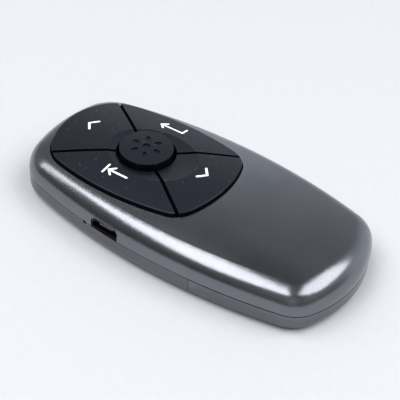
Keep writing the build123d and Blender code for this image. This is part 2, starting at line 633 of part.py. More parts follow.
def top_shell():
    """Upper casing, with the keypad opening, the tongue's groove and the screw bosses."""
    shell = OUTER & block((-LENGTH, LENGTH), (-WIDTH, WIDTH), (TOP_SHELL_Z, ABOVE))
    shell -= CAVITY
    shell -= prism(outline_face(PAD, -KEY_GAP), SEAM_Z, ABOVE)
    groove_top = BOTTOM_SHELL_Z + LIP_HEIGHT + SEAM_GAP + LIP_CLEARANCE
    groove_inset = WALL - LIP_THICKNESS - LIP_CLEARANCE
    groove = ring(groove_inset, WALL + LIP_CLEARANCE, TOP_SHELL_Z, groove_top)
    snap_top = groove_top + LIP_CLEARANCE
    snaps = snap_bands(groove_inset - SNAP_DEPTH, groove_inset + LIP_CLEARANCE,
                       snap_top - SNAP_HEIGHT - 2 * LIP_CLEARANCE, snap_top, LIP_CLEARANCE)
    shell -= (groove & block((-LENGTH, STEP_X), (-WIDTH, WIDTH), (BELOW, ABOVE))) + snaps
    inner = body_form(WALL / 2)
    boss_z = max(TOP_SHELL_Z, CHASSIS_TOP + SEAM_GAP)
    for x, y in SHELL_SCREWS:
        shell += post(x, y, BOSS_DIAMETER / 2, boss_z, ABOVE) & inner
        shell -= screw_hole(x, y, SHELL_SCREW, BELOW, CHASSIS_Z + SHELL_SCREW_HEAD_THICKNESS
                            + SHELL_SCREW_LENGTH + HOLE_END)
    for x, y in TRAY_SCREWS:
        ear_top = TRAY_EAR_Z + TRAY_THICKNESS
        shell += post(x, y, TRAY_EAR_DIAMETER / 2, ear_top, ABOVE) & inner
        shell -= screw_hole(x, y, SMALL_SCREW, BELOW, TRAY_EAR_Z + TRAY_SCREW_LENGTH + HOLE_END)
    return cut_walls(shell)


def bottom_tub():
    """The bottom shell's outer part, from the head to the receiver cover."""
    before_step = block((-LENGTH, STEP_X), (-WIDTH, WIDTH), (BELOW, ABOVE))
    tub = OUTER & block((-LENGTH, STEP_X), (-WIDTH, WIDTH), (BELOW, BOTTOM_SHELL_Z))
    hollow = base_form(WALL, FLOOR, INNER_ROUND)
    tub -= hollow & block((-LENGTH, STEP_X - WALL), (-WIDTH, WIDTH), (BELOW, ABOVE))
    tongue_top = BOTTOM_SHELL_Z + LIP_HEIGHT + SEAM_GAP
    tongue = ring(WALL - LIP_THICKNESS, WALL, BOTTOM_SHELL_Z - LIP_HEIGHT, tongue_top)
    ridges = snap_bands(WALL - LIP_THICKNESS - SNAP_DEPTH, WALL - LIP_THICKNESS,
                        tongue_top - SNAP_HEIGHT, tongue_top, 0.0)
    tub += (tongue & before_step) + ridges
    step_half = side_y(STEP_X, CHASSIS_INSET)
    tub -= block((STEP_X - WALL, LENGTH), (-step_half, step_half), (CHASSIS_TOP, ABOVE))
    for x, y in BOARD_SCREWS:
        tub += post(x, y, BOARD_BOSS_DIAMETER / 2, FLOOR / 2, BOARD_Z)
        tub -= screw_hole(x, y, SMALL_SCREW, BOARD_TOP - SMALL_SCREW_LENGTH - HOLE_END, ABOVE)
    return tub


def laser_cradle():
    """A rib and a block that carry the laser's barrel, rising from the floor."""
    half = CLAMP_SCREW_Y + CLAMP_FOOT_WIDTH / 2
    cradle_z = (FLOOR / 2, CLAMP_FOOT_Z)
    rear = block((CLAMP_X - CLAMP_LENGTH / 2, CLAMP_X + CLAMP_LENGTH / 2), (-half, half), cradle_z)
    front = block((CRADLE_RIB_X - CRADLE_RIB_LENGTH / 2, CRADLE_RIB_X + CRADLE_RIB_LENGTH / 2),
                  (-CRADLE_RIB_WIDTH / 2, CRADLE_RIB_WIDTH / 2), cradle_z)
    seat = rod(0, LASER_Z, LASER_RADIUS + LASER_SEAT_CLEARANCE, LASER_X - CUT_PAST, LASER_TAIL_X + CUT_PAST)
    cradle = rear + front - seat
    for side in (-1, 1):
        cradle -= screw_hole(CLAMP_X, side * CLAMP_SCREW_Y, CLAMP_SCREW,
                             CLAMP_FOOT_Z + CLAMP_THICKNESS - CLAMP_SCREW_LENGTH - HOLE_END, ABOVE)
    return cradle


def receiver_chassis():
    """The bottom shell's inner part over the cover: plate, edge wall, rails and the receiver's bay."""
    after_step = block((STEP_X - WALL, LENGTH), (-WIDTH, WIDTH), (BELOW, ABOVE))
    plate = prism(outline_face(BODY, CHASSIS_INSET), CHASSIS_Z, CHASSIS_TOP) & after_step
    edge = ring(CHASSIS_INSET, CHASSIS_INSET + CHASSIS_WALL, CHASSIS_Z, BOTTOM_SHELL_Z + CHASSIS_LIP_HEIGHT)
    chassis = plate + (edge & after_step)
    bay_x = (RECEIVER_X - BAY_CLEARANCE, RECEIVER_TAIL_X + BAY_CLEARANCE)
    bay = block((bay_x[0] - BAY_WALL, bay_x[1] + BAY_WALL),
                (-BAY_HALF_WIDTH - BAY_WALL, BAY_HALF_WIDTH + BAY_WALL), (CHASSIS_Z, BAY_CEILING + BAY_WALL))
    chassis += bay & body_form(WALL + BAY_CLEARANCE)
    for side in (-1, 1):
        web = sorted((side * RAIL_Y, side * (RAIL_Y + RAIL_WEB)))
        flange = sorted((side * RAIL_Y, side * (RAIL_Y + RAIL_WEB + RAIL_FLANGE)))
        rail_x = (RAIL_HEAD_X, RAIL_HEAD_X + RAIL_LENGTH)
        rail_z = COVER_FLOOR + RAIL_FLOOR_GAP
        chassis += block(rail_x, web, (rail_z, CHASSIS_TOP))
        chassis += block(rail_x, flange, (rail_z, rail_z + RAIL_FLANGE_THICKNESS))
    for x, y in SHELL_SCREWS:
        head_z = CHASSIS_Z + SHELL_SCREW_HEAD_THICKNESS
        chassis += post(x, y, BOSS_DIAMETER / 2, CHASSIS_Z, BOTTOM_SHELL_Z)
        chassis -= post(x, y, SHELL_SCREW_HEAD / 2 + THREAD_CLEARANCE, BELOW, head_z)
        chassis -= screw_hole(x, y, SHELL_SCREW, BELOW, ABOVE)
    chassis -= block(bay_x, (-BAY_HALF_WIDTH, BAY_HALF_WIDTH), (BELOW, BAY_CEILING))
    rib_z = (CHASSIS_Z, BAY_CEILING + BAY_WALL / 2)
    for side in (-1, 1):
        rib_y = sorted((side * (PLUG_WIDTH / 2 + BAY_RIB_CLEARANCE), side * (BAY_HALF_WIDTH + BAY_WALL / 2)))
        chassis += block((BAY_RIB_X, BAY_RIB_X + BAY_RIB_LENGTH), rib_y, rib_z)
    return chassis


def bottom_shell():
    """Lower casing: outer tub, laser cradle and the chassis over the receiver cover."""
    return cut_walls(bottom_tub() + laser_cradle() + receiver_chassis())


def receiver_cover():
    """Sliding cover that makes the lower tail, with two hooks that run on the chassis rails."""
    cover = OUTER & block((COVER_FRONT_X, LENGTH), (-WIDTH, WIDTH), (BELOW, TOP_SHELL_Z - COVER_SEAM_GAP))
    cover -= base_form(WALL, COVER_FLOOR, INNER_ROUND)
    hook_x = (RAIL_HEAD_X, RAIL_HEAD_X + RAIL_LENGTH)
    flange_z = COVER_FLOOR + RAIL_FLOOR_GAP + RAIL_FLANGE_THICKNESS + HOOK_CLEARANCE
    hook_top = flange_z + HOOK_FLANGE_THICKNESS
    web_y = RAIL_Y + RAIL_WEB + RAIL_FLANGE + HOOK_CLEARANCE
    for side in (-1, 1):
        web = sorted((side * web_y, side * (web_y + HOOK_WEB)))
        flange = sorted((side * (RAIL_Y + RAIL_WEB + HOOK_CLEARANCE), side * (web_y + HOOK_WEB)))
        cover += block(hook_x, web, (COVER_FLOOR / 2, hook_top))
        cover += block(hook_x, flange, (flange_z, hook_top))
    grip_y = (-GRIP_LENGTH / 2, GRIP_LENGTH / 2)
    for index in range(GRIP_COUNT):
        grip_x = COVER_FRONT_X + GRIP_FROM_FRONT + index * GRIP_PITCH
        cover -= block((grip_x, grip_x + GRIP_WIDTH), grip_y, (BELOW, GRIP_DEPTH))
    return cover


# ---------------------------------------------------------------- keys
def wedge(direction, half_angle, inset):
    """Plan of one key's share around the button, its two straight edges moved in by inset."""
    def polar(start, reach, angle):
        return (start[0] + reach * cos(radians(angle)), start[1] + reach * sin(radians(angle)))

    apex = polar((BUTTON_X, 0.0), inset / sin(radians(half_angle)), direction)
    edges = [polar(apex, LENGTH, angle) for angle in (direction - half_angle, direction + half_angle)]
    return Face(Wire(Polyline(apex, *edges, close=True).edges()))


DISH_LOW_Z = crown_z(BUTTON_X, 0.0, -PAD_RISE) - DISH_DEPTH


def key_stock():
    """All four keys in one piece: raised top with its dish, and the retaining lip under the shell."""
    top = rounded_top(PAD, 0.0, -PAD_RISE, PAD_EDGE_ROUND)
    lip = prism(outline_face(PAD, -PAD_LIP_OUTSET), BELOW / 2, ABOVE) & body_form(KEY_LIP_TOP)
    stock = top + lip - under_crown(KEY_FOOT)
    stock -= Pos(BUTTON_X, 0, DISH_LOW_Z + DISH_RADIUS) * Sphere(DISH_RADIUS)
    return stock - post(BUTTON_X, 0, BUTTON_HOLE_RADIUS, BELOW, ABOVE)


def key(stock, name):
    """One key cut from the stock, hollow underneath, with a stem that presses its switch."""
    direction, half_angle, _ = KEYS[name]
    pocket = prism(outline_face(PAD, KEY_SKIRT), BELOW / 2, ABOVE)
    pocket &= prism(wedge(direction, half_angle, DIVIDER_GAP / 2 + KEY_SKIRT), BELOW, ABOVE)
    pocket += post(BUTTON_X, 0, FLANGE_RADIUS + BUTTON_FLANGE_CLEARANCE, BELOW / 2, ABOVE)
    cap = stock & prism(wedge(direction, half_angle, DIVIDER_GAP / 2), BELOW, ABOVE)
    cap -= pocket & under_crown(KEY_ROOF)
    x, y = PLACES[name]
    stem = post(x, y, STEM_DIAMETER / 2, PLUNGER_TOP, crown_z(x, y, KEY_ROOF) + STEM_ROOTING)
    return cap + stem


def dimple(radius, angle, length, width):
    """One shallow hollow in the round button's dome, seen from above as a long oval."""
    turn = radians(angle)
    dome_radius = (BUTTON_RADIUS ** 2 + BUTTON_DOME ** 2) / (2 * BUTTON_DOME)
    surface = BUTTON_TOP_Z + BUTTON_DOME - dome_radius + sqrt(dome_radius ** 2 - radius ** 2)
    place = Pos(BUTTON_X + radius * cos(turn), radius * sin(turn), 0) * Rot(0, 0, angle)
    return prism(place * (Pos(0, 0) * Ellipse(length / 2, width / 2)).faces()[0],
                 surface - DIMPLE_DEPTH, ABOVE)


def round_button():
    """Domed thumb button: hollow underneath, with a flange under the keys and a stem."""
    dome_radius = (BUTTON_RADIUS ** 2 + BUTTON_DOME ** 2) / (2 * BUTTON_DOME)
    dome = Pos(BUTTON_X, 0, BUTTON_TOP_Z + BUTTON_DOME - dome_radius) * Sphere(dome_radius)
    button = post(BUTTON_X, 0, BUTTON_RADIUS, FLANGE_LOW, ABOVE) & dome
    button += post(BUTTON_X, 0, FLANGE_RADIUS, FLANGE_LOW, FLANGE_LOW + BUTTON_FLANGE_THICKNESS)
    button -= post(BUTTON_X, 0, BUTTON_RADIUS - BUTTON_SKIRT, BELOW, BUTTON_TOP_Z - BUTTON_ROOF)
    button += post(BUTTON_X, 0, STEM_DIAMETER / 2, PLUNGER_TOP, BUTTON_TOP_Z - BUTTON_ROOF + STEM_ROOTING)
    for index in range(DIMPLE_COUNT):
        button -= dimple(DIMPLE_RING_RADIUS, 360 * index / DIMPLE_COUNT, DIMPLE_LENGTH, DIMPLE_WIDTH)
    return button - dimple(0.0, 0.0, CENTRE_DIMPLE_DIAMETER, CENTRE_DIMPLE_DIAMETER)


def keypad_tray():
    """Plate under the keys that guides their stems, with a rim up to the shell, a well and two ears."""
    tray = prism(outline_face(PAD, -TRAY_OUTSET), BELOW / 2, ABOVE) & body_form(WALL + TRAY_SEAT_GAP)
    tray -= prism(outline_face(PAD, -TRAY_RIM_INNER), BELOW, ABOVE + CUT_PAST) - under_crown(TRAY_TOP)
    tray -= under_crown(TRAY_FOOT)
    well_radius = FLANGE_RADIUS + BUTTON_FLANGE_CLEARANCE
    well = post(BUTTON_X, 0, well_radius + TRAY_THICKNESS, WELL_TOP - TRAY_THICKNESS, ABOVE)
    tray += well & under_crown(TRAY_TOP)
    tray -= post(BUTTON_X, 0, well_radius, WELL_TOP, ABOVE)
    ear_z = (TRAY_EAR_Z, TRAY_EAR_Z + TRAY_THICKNESS)
    ear_radius = TRAY_EAR_DIAMETER / 2
    for x, y in TRAY_SCREWS:
        arm = block((PAD.tail_x - TRAY_ARM_ROOT, x), (y - ear_radius, y + ear_radius), ear_z)
        tray += arm + post(x, y, ear_radius, *ear_z)
        tray -= screw_hole(x, y, SMALL_SCREW, BELOW, ABOVE)
    for x, y in PLACES.values():
        tray -= post(x, y, STEM_DIAMETER / 2 + STEM_CLEARANCE, BELOW, ABOVE)
    for relief in tray_reliefs():
        tray -= relief
    return tray


def tray_reliefs():
    """Room in the tray for what stands high under it: laser clamp, charging port and power switch."""
    arch = LASER_RADIUS + CLAMP_THICKNESS + TRAY_RELIEF
    clamp_tail = CLAMP_X + CLAMP_LENGTH / 2 + TRAY_RELIEF
    clamp = block((-LENGTH, clamp_tail), (-arch, arch), (BELOW, LASER_Z + arch))
    port_half = PORT_WIDTH / 2 + TRAY_RELIEF
    port_back = PORT_MOUTH_Y + PORT_DEPTH + TRAY_RELIEF
    port = block((PORT_X - port_half, PORT_X + port_half), (-WIDTH, port_back),
                 (BELOW, PORT_TOP + TRAY_RELIEF))
    power_half = POWER_BODY_LENGTH / 2 + TRAY_RELIEF
    power = block((POWER_X - power_half, POWER_X + power_half), (POWER_BACK_Y - TRAY_RELIEF, WIDTH),
                  (BELOW, BOARD_TOP + POWER_BODY_HEIGHT + TRAY_RELIEF))
    return [clamp, port, power]


# ---------------------------------------------------------------- switches
def switch_body(x, y):
    """Tact switch: a square body with a well for its plunger and a terminal strip on two sides."""
    half = SWITCH_SIDE / 2
    body = block((x - half, x + half), (y - half, y + half), (BOARD_TOP, SWITCH_TOP))
    reach = half + SWITCH_TERMINAL_REACH
    body += block((x - SWITCH_TERMINAL_WIDTH / 2, x + SWITCH_TERMINAL_WIDTH / 2), (y - reach, y + reach),
                  (BOARD_TOP, BOARD_TOP + SWITCH_TERMINAL_THICKNESS))
    well_z = SWITCH_TOP - PLUNGER_SUNK - KEY_TRAVEL - WELL_FLOOR_GAP
    return body - post(x, y, PLUNGER_DIAMETER / 2 + PLUNGER_CLEARANCE, well_z, ABOVE)


def switch_plunger(x, y):
    """The round piece of a tact switch that its key's stem presses."""
    return post(x, y, PLUNGER_DIAMETER / 2, SWITCH_TOP - PLUNGER_SUNK, PLUNGER_TOP)


# ---------------------------------------------------------------- board and battery
def main_board():
    """Circuit board that follows the body's plan, with four screw holes."""
    board = prism(outline_face(BODY, BOARD_INSET), BOARD_Z, BOARD_TOP)
    board &= block((BOARD_HEAD_X, BOARD_TAIL_X), (-WIDTH, WIDTH), (BELOW, ABOVE))
    for x, y in BOARD_SCREWS:
        board -= post(x, y, BOARD_HOLE_DIAMETER / 2, BELOW, ABOVE)
    return board


def battery():
    """Flat pouch cell with rounded long edges."""
    cell = block((BATTERY_HEAD_X, BATTERY_HEAD_X + BATTERY_LENGTH), (-BATTERY_WIDTH / 2, BATTERY_WIDTH / 2),
                 (BATTERY_Z, BATTERY_Z + BATTERY_THICKNESS))
    long_edges = cell.edges().filter_by(Axis.X)
    return cell.solids()[0].fillet(BATTERY_THICKNESS * BATTERY_ROUND_SHARE, long_edges)


def battery_tape():
    """Double-sided tape that holds the cell on the floor."""
    half = BATTERY_WIDTH / 2 - TAPE_MARGIN
    return block((BATTERY_HEAD_X + TAPE_MARGIN, BATTERY_HEAD_X + BATTERY_LENGTH - TAPE_MARGIN),
                 (-half, half), (FLOOR, BATTERY_Z))


def battery_tabs():
    """Two bent strips from the cell's tail edge up to the board."""
    tail_x = BATTERY_HEAD_X + BATTERY_LENGTH
    tab_z = BATTERY_Z + BATTERY_THICKNESS / 2
    tabs = []
    for side in (-1, 1):
        y = side * TAB_SPACING / 2
        across = (y - TAB_WIDTH / 2, y + TAB_WIDTH / 2)
        flat = block((tail_x, tail_x + TAB_REACH), across, (tab_z, tab_z + TAB_THICKNESS))
        rise = block((tail_x + TAB_REACH - TAB_THICKNESS, tail_x + TAB_REACH), across, (tab_z, BOARD_Z))
        tabs.append(flat + rise)
    return tabs


def chip(name):
    """A flat chip on top of the board."""
    part = CHIPS[name]
    x, y = LENGTH * part.x_share, WIDTH * part.y_share
    return block((x - part.length / 2, x + part.length / 2), (y - part.width / 2, y + part.width / 2),
                 (BOARD_TOP, BOARD_TOP + part.height))


# ---------------------------------------------------------------- charging port and status light
def usb_port_shell():
    """Metal sleeve of the charging port."""
    tail_y = PORT_MOUTH_Y + PORT_DEPTH
    inside = port_prism(-PORT_METAL, PORT_MOUTH_Y - CUT_PAST, tail_y + CUT_PAST)
    return port_prism(0.0, PORT_MOUTH_Y, tail_y) - inside


def port_tongue_z():
    """Underside and top of the port's tongue."""
    top = PORT_TOP - PORT_METAL - PORT_TONGUE_DROP
    return top - PORT_TONGUE_THICKNESS, top


def usb_port_insulator():
    """Black insert at the back of the port, with the tongue that carries the contacts."""
    tail_y = PORT_MOUTH_Y + PORT_DEPTH
    back = port_prism(-PORT_METAL, tail_y - PORT_BACK, tail_y)
    tongue = block((PORT_X - PORT_TONGUE_WIDTH / 2, PORT_X + PORT_TONGUE_WIDTH / 2),
                   (PORT_MOUTH_Y + PORT_TONGUE_RECESS, tail_y - PORT_BACK / 2), port_tongue_z())
    return back + tongue


def usb_port_contacts():
    """Five strips under the port's tongue."""
    low = port_tongue_z()[0]
    strips = []
    for index in range(PORT_CONTACTS):
        x = PORT_X + (index - (PORT_CONTACTS - 1) / 2) * PORT_CONTACT_PITCH
        strips.append(block((x - PORT_CONTACT_WIDTH / 2, x + PORT_CONTACT_WIDTH / 2),
                            (PORT_MOUTH_Y + 2 * PORT_TONGUE_RECESS, PORT_MOUTH_Y + PORT_DEPTH - PORT_BACK),
                            (low - PORT_CONTACT_THICKNESS, low)))
    return strips


LED_BOARD_Y = -side_y(LED_X, BOARD_INSET)               # board's edge by the light
LED_Y = LED_BOARD_Y + LED_EDGE                          # outer face of the light


def status_led():
    """Small lamp by the board's edge."""
    return block((LED_X - LED_LENGTH / 2, LED_X + LED_LENGTH / 2), (LED_Y, LED_Y + LED_WIDTH),
                 (BOARD_TOP, BOARD_TOP + LED_HEIGHT))


def led_light_pipe():
    """Clear pipe from the lamp, over the board's edge, to the hole in the wall."""
    half = LED_HOLE_WIDTH / 2 - LED_PIPE_CLEARANCE
    low = LED_HOLE_LOW_Z + LED_PIPE_CLEARANCE
    high = LED_HOLE_LOW_Z + LED_HOLE_HEIGHT - LED_PIPE_CLEARANCE
    across = (LED_X - half, LED_X + half)
    mouth_y = -(side_y(LED_X) - LED_PIPE_RECESS)
    back_y = LED_BOARD_Y - LED_GAP
    bar = block(across, (mouth_y, back_y), (low, high))
    return bar + block(across, (back_y - 2 * half, back_y), (low, BOARD_TOP + LED_HEIGHT))


# ---------------------------------------------------------------- power switch
POWER_BACK_Y = side_y(POWER_X, BOARD_INSET + POWER_BODY_EDGE) - POWER_BODY_DEPTH
POWER_FRONT_Y = POWER_BACK_Y + POWER_BODY_DEPTH


def power_switch_body():
    """Slide switch on the board, open towards the wall for its knob's stem."""
    body = block((POWER_X - POWER_BODY_LENGTH / 2, POWER_X + POWER_BODY_LENGTH / 2),
                 (POWER_BACK_Y, POWER_FRONT_Y), (BOARD_TOP, BOARD_TOP + POWER_BODY_HEIGHT))
    half = (POWER_STEM_LENGTH + POWER_TRAVEL) / 2 + POWER_CLEARANCE
    rise = POWER_STEM_HEIGHT / 2 + POWER_CLEARANCE
    slot_y = POWER_FRONT_Y - POWER_STEM_SUNK - POWER_CLEARANCE
    return body - block((POWER_X - half, POWER_X + half), (slot_y, WIDTH), (POWER_Z - rise, POWER_Z + rise))


def power_switch_knob():
    """Ridged knob in the wall's window, with a stem into the switch, at its off end."""
    half = POWER_KNOB_LENGTH / 2
    face_y = side_y(POWER_X) + POWER_KNOB_PROUD
    back_y = side_y(POWER_X, WALL + POWER_KNOB_SUNK)
    knob = block((POWER_REST_X - half, POWER_REST_X + half), (back_y, face_y),
                 (POWER_Z - POWER_KNOB_HEIGHT / 2, POWER_Z + POWER_KNOB_HEIGHT / 2))
    knob += block((POWER_REST_X - POWER_STEM_LENGTH / 2, POWER_REST_X + POWER_STEM_LENGTH / 2),
                  (POWER_FRONT_Y - POWER_STEM_SUNK, face_y - POWER_KNOB_PROUD - WALL / 2),
                  (POWER_Z - POWER_STEM_HEIGHT / 2, POWER_Z + POWER_STEM_HEIGHT / 2))
    pitch = POWER_KNOB_LENGTH / (POWER_GRIPS + 1)
    for index in range(POWER_GRIPS):
        x = POWER_REST_X + (index - (POWER_GRIPS - 1) / 2) * pitch
        groove_x = (x - POWER_GRIP_WIDTH / 2, x + POWER_GRIP_WIDTH / 2)
        knob -= block(groove_x, (face_y - POWER_GRIP_DEPTH, WIDTH), (BELOW, ABOVE))
    return knob


# ---------------------------------------------------------------- laser
def laser_barrel():
    """Brass barrel with a bore for the beam and a seat for its lens."""
    barrel = rod(0, LASER_Z, LASER_RADIUS, LASER_X, LASER_TAIL_X)
    mouth_x = LASER_X - CUT_PAST
    barrel -= rod(0, LASER_Z, LASER_LENS_DIAMETER / 2, mouth_x, LASER_X + LASER_LENS_THICKNESS)
    return barrel - rod(0, LASER_Z, LASER_BORE_DIAMETER / 2, mouth_x, LASER_X + LASER_LENGTH / 2)


def laser_lens():
    """Small lens in the barrel's mouth."""
    return rod(0, LASER_Z, LASER_LENS_DIAMETER / 2, LASER_X, LASER_X + LASER_LENS_THICKNESS)


def laser_window():
    """Clear disc behind the head wall's aperture."""
    return rod(0, LASER_Z, LASER_WINDOW_DIAMETER / 2, WINDOW_X, WINDOW_X + LASER_WINDOW_THICKNESS)


def laser_clamp():
    """Bent strap over the barrel, with a foot on each side of the cradle."""
    clamp_x = (CLAMP_X - CLAMP_LENGTH / 2, CLAMP_X + CLAMP_LENGTH / 2)
    inner = LASER_RADIUS + LASER_SEAT_CLEARANCE
    arch = rod(0, LASER_Z, LASER_RADIUS + CLAMP_THICKNESS, *clamp_x)
    arch &= block(clamp_x, (-WIDTH, WIDTH), (CLAMP_FOOT_Z, ABOVE))
    half = CLAMP_SCREW_Y + CLAMP_FOOT_WIDTH / 2
    feet = block(clamp_x, (-half, half), (CLAMP_FOOT_Z, CLAMP_FOOT_Z + CLAMP_THICKNESS))
    clamp = arch + feet - rod(0, LASER_Z, inner, LASER_X, LASER_TAIL_X)
    for side in (-1, 1):
        clamp -= screw_hole(CLAMP_X, side * CLAMP_SCREW_Y, CLAMP_SCREW, BELOW, ABOVE)
    return clamp


def laser_leads():
    """Two stiff wires from the barrel's back onto the board."""
    return [rod(side * LASER_LEAD_SPACING / 2, LEAD_Z, LASER_LEAD_DIAMETER / 2,
                LASER_TAIL_X, LEAD_TAIL_X) for side in (-1, 1)]


# ---------------------------------------------------------------- receiver
def receiver_case():
    """Plastic grip of the USB receiver."""
    case = block((PLUG_TAIL_X, RECEIVER_TAIL_X), (-RECEIVER_CASE_WIDTH / 2, RECEIVER_CASE_WIDTH / 2),
                 (RECEIVER_Z, RECEIVER_Z + RECEIVER_CASE_HEIGHT))
    return case.solids()[0].fillet(RECEIVER_CASE_ROUND, case.edges().filter_by(Axis.X))


def plug_block(shrink, x_low, x_high):
    """The plug's section, shrunk, between two places along X."""
    return block((x_low, x_high), (-PLUG_WIDTH / 2 + shrink, PLUG_WIDTH / 2 - shrink),
                 (PLUG_MID_Z - PLUG_HEIGHT / 2 + shrink, PLUG_MID_Z + PLUG_HEIGHT / 2 - shrink))


def receiver_plug():
    """Metal sleeve of the USB plug, with two square windows above and below."""
    plug = plug_block(0.0, RECEIVER_X, PLUG_TAIL_X)
    plug -= plug_block(PLUG_METAL, RECEIVER_X - CUT_PAST, PLUG_TAIL_X + CUT_PAST)
    x = RECEIVER_X + PLUG_WINDOW_REACH
    half = PLUG_WINDOW / 2
    for side in (-1, 1):
        y = side * PLUG_WINDOW_SPACING / 2
        plug -= block((x - half, x + half), (y - half, y + half), (BELOW, ABOVE))
    return plug


def plug_tongue_z():
    """Underside and top of the plug's tongue, on the lower side of its sleeve."""
    low = PLUG_MID_Z - PLUG_HEIGHT / 2 + PLUG_METAL + PLUG_TONGUE_CLEARANCE
    return low, low + PLUG_TONGUE_THICKNESS


def receiver_tongue():
    """Insulator inside the plug."""
    half = PLUG_WIDTH / 2 - PLUG_METAL - PLUG_TONGUE_CLEARANCE
    return block((RECEIVER_X + PLUG_TONGUE_RECESS, PLUG_TAIL_X), (-half, half), plug_tongue_z())


def receiver_contacts():
    """Four gold strips on the plug's tongue."""
    top = plug_tongue_z()[1]
    half = PLUG_CONTACT_WIDTH / 2
    strips = []
    for index in range(PLUG_CONTACT_COUNT):
        y = (index - (PLUG_CONTACT_COUNT - 1) / 2) * PLUG_CONTACT_PITCH
        strips.append(block((RECEIVER_X + 2 * PLUG_TONGUE_RECESS, RECEIVER_X + PLUG_CONTACT_LENGTH),
                            (y - half, y + half), (top, top + PLUG_CONTACT_THICKNESS)))
    return strips


# ---------------------------------------------------------------- screws
def shell_screws():
    """Two screws under the receiver cover, up into the top shell's bosses."""
    return [screw(x, y, CHASSIS_Z + SHELL_SCREW_HEAD_THICKNESS, SHELL_SCREW, SHELL_SCREW_LENGTH,
                  SHELL_SCREW_HEAD, SHELL_SCREW_HEAD_THICKNESS, True) for x, y in SHELL_SCREWS]


def board_screws():
    """Four screws through the board into the bottom shell's bosses."""
    return [screw(x, y, BOARD_TOP, SMALL_SCREW, SMALL_SCREW_LENGTH,
                  SMALL_SCREW_HEAD, SMALL_SCREW_HEAD_THICKNESS, False) for x, y in BOARD_SCREWS]


def tray_screws():
    """Two screws through the tray's ears into the top shell's bosses."""
    return [screw(x, y, TRAY_EAR_Z, SMALL_SCREW, TRAY_SCREW_LENGTH,
                  SMALL_SCREW_HEAD, SMALL_SCREW_HEAD_THICKNESS, True) for x, y in TRAY_SCREWS]


def laser_clamp_screws():
    """Two screws through the clamp's feet into the cradle."""
    seat_z = CLAMP_FOOT_Z + CLAMP_THICKNESS
    return [screw(CLAMP_X, side * CLAMP_SCREW_Y, seat_z, CLAMP_SCREW, CLAMP_SCREW_LENGTH,
                  CLAMP_SCREW_HEAD, CLAMP_SCREW_HEAD_THICKNESS, False) for side in (-1, 1)]


# ---------------------------------------------------------------- write every node
save("top_shell", top_shell())
save("bottom_shell", bottom_shell())
save("receiver_cover", receiver_cover())
save("keypad_tray", keypad_tray())

KEY_STOCK = key_stock()
for key_name in KEYS:
    save("key_" + key_name, key(KEY_STOCK, key_name))
save("key_laser", round_button())

for place_name, (place_x, place_y) in PLACES.items():
    save("switch_body_" + place_name, switch_body(place_x, place_y))
    save("switch_plunger_" + place_name, switch_plunger(place_x, place_y))

save("main_board", main_board())
save("battery", battery())
save("battery_tape", battery_tape())
save("battery_tabs", *battery_tabs())
for chip_name in CHIPS:
    save(chip_name, chip(chip_name))

save("usb_port_shell", usb_port_shell())
save("usb_port_insulator", usb_port_insulator())
save("usb_port_contacts", *usb_port_contacts())
save("status_led", status_led())
save("led_light_pipe", led_light_pipe())
save("power_switch_body", power_switch_body())
save("power_switch_knob", power_switch_knob())

save("laser_barrel", laser_barrel())
save("laser_lens", laser_lens())
save("laser_window", laser_window())
save("laser_clamp", laser_clamp())
save("laser_leads", *laser_leads())

save("receiver_case", receiver_case())
save("receiver_plug", receiver_plug())
save("receiver_tongue", receiver_tongue())
save("receiver_contacts", *receiver_contacts())

save("shell_screws", *shell_screws())
save("board_screws", *board_screws())
save("tray_screws", *tray_screws())
save("laser_clamp_screws", *laser_clamp_screws())
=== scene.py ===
import math

import bmesh
import bpy
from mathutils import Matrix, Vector
from mathutils.bvhtree import BVHTree


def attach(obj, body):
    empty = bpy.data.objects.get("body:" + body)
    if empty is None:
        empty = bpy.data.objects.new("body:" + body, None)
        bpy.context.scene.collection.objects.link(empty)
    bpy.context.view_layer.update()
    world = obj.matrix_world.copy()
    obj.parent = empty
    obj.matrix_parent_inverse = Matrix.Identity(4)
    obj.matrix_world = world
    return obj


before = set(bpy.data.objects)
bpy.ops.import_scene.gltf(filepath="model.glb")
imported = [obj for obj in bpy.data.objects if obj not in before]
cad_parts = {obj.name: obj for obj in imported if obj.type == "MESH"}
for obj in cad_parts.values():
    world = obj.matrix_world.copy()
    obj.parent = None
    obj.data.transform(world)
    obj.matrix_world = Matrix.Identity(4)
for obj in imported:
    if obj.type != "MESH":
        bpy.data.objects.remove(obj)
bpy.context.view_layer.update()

MM = 0.001
scene = bpy.context.scene


# ---------------------------------------------------------------- camera
TARGET = Vector((0.0, 0.0, 6.49)) * MM
AZIMUTH = math.radians(31.89)           # from -Y towards +X
ELEVATION = math.radians(41.08)
ROLL = math.radians(4.64)
DISTANCE = 229.1 * MM
PICTURE = 400.0                         # pixels each way
FOCAL_PX = 989.59
CENTRE_X = 197.25                       # the pixel that the target falls on
CENTRE_Y = 199.85
SENSOR = 36.0
CLIP_START = 0.01
CLIP_END = 20.0


def camera_axes():
    """The camera's right, up and back directions."""
    back = Vector((math.sin(AZIMUTH) * math.cos(ELEVATION), -math.cos(AZIMUTH) * math.cos(ELEVATION),
                   math.sin(ELEVATION)))
    level = Vector((math.cos(AZIMUTH), math.sin(AZIMUTH), 0.0))
    upright = back.cross(level)
    right = level * math.cos(ROLL) + upright * math.sin(ROLL)
    up = upright * math.cos(ROLL) - level * math.sin(ROLL)
    return right, up, back


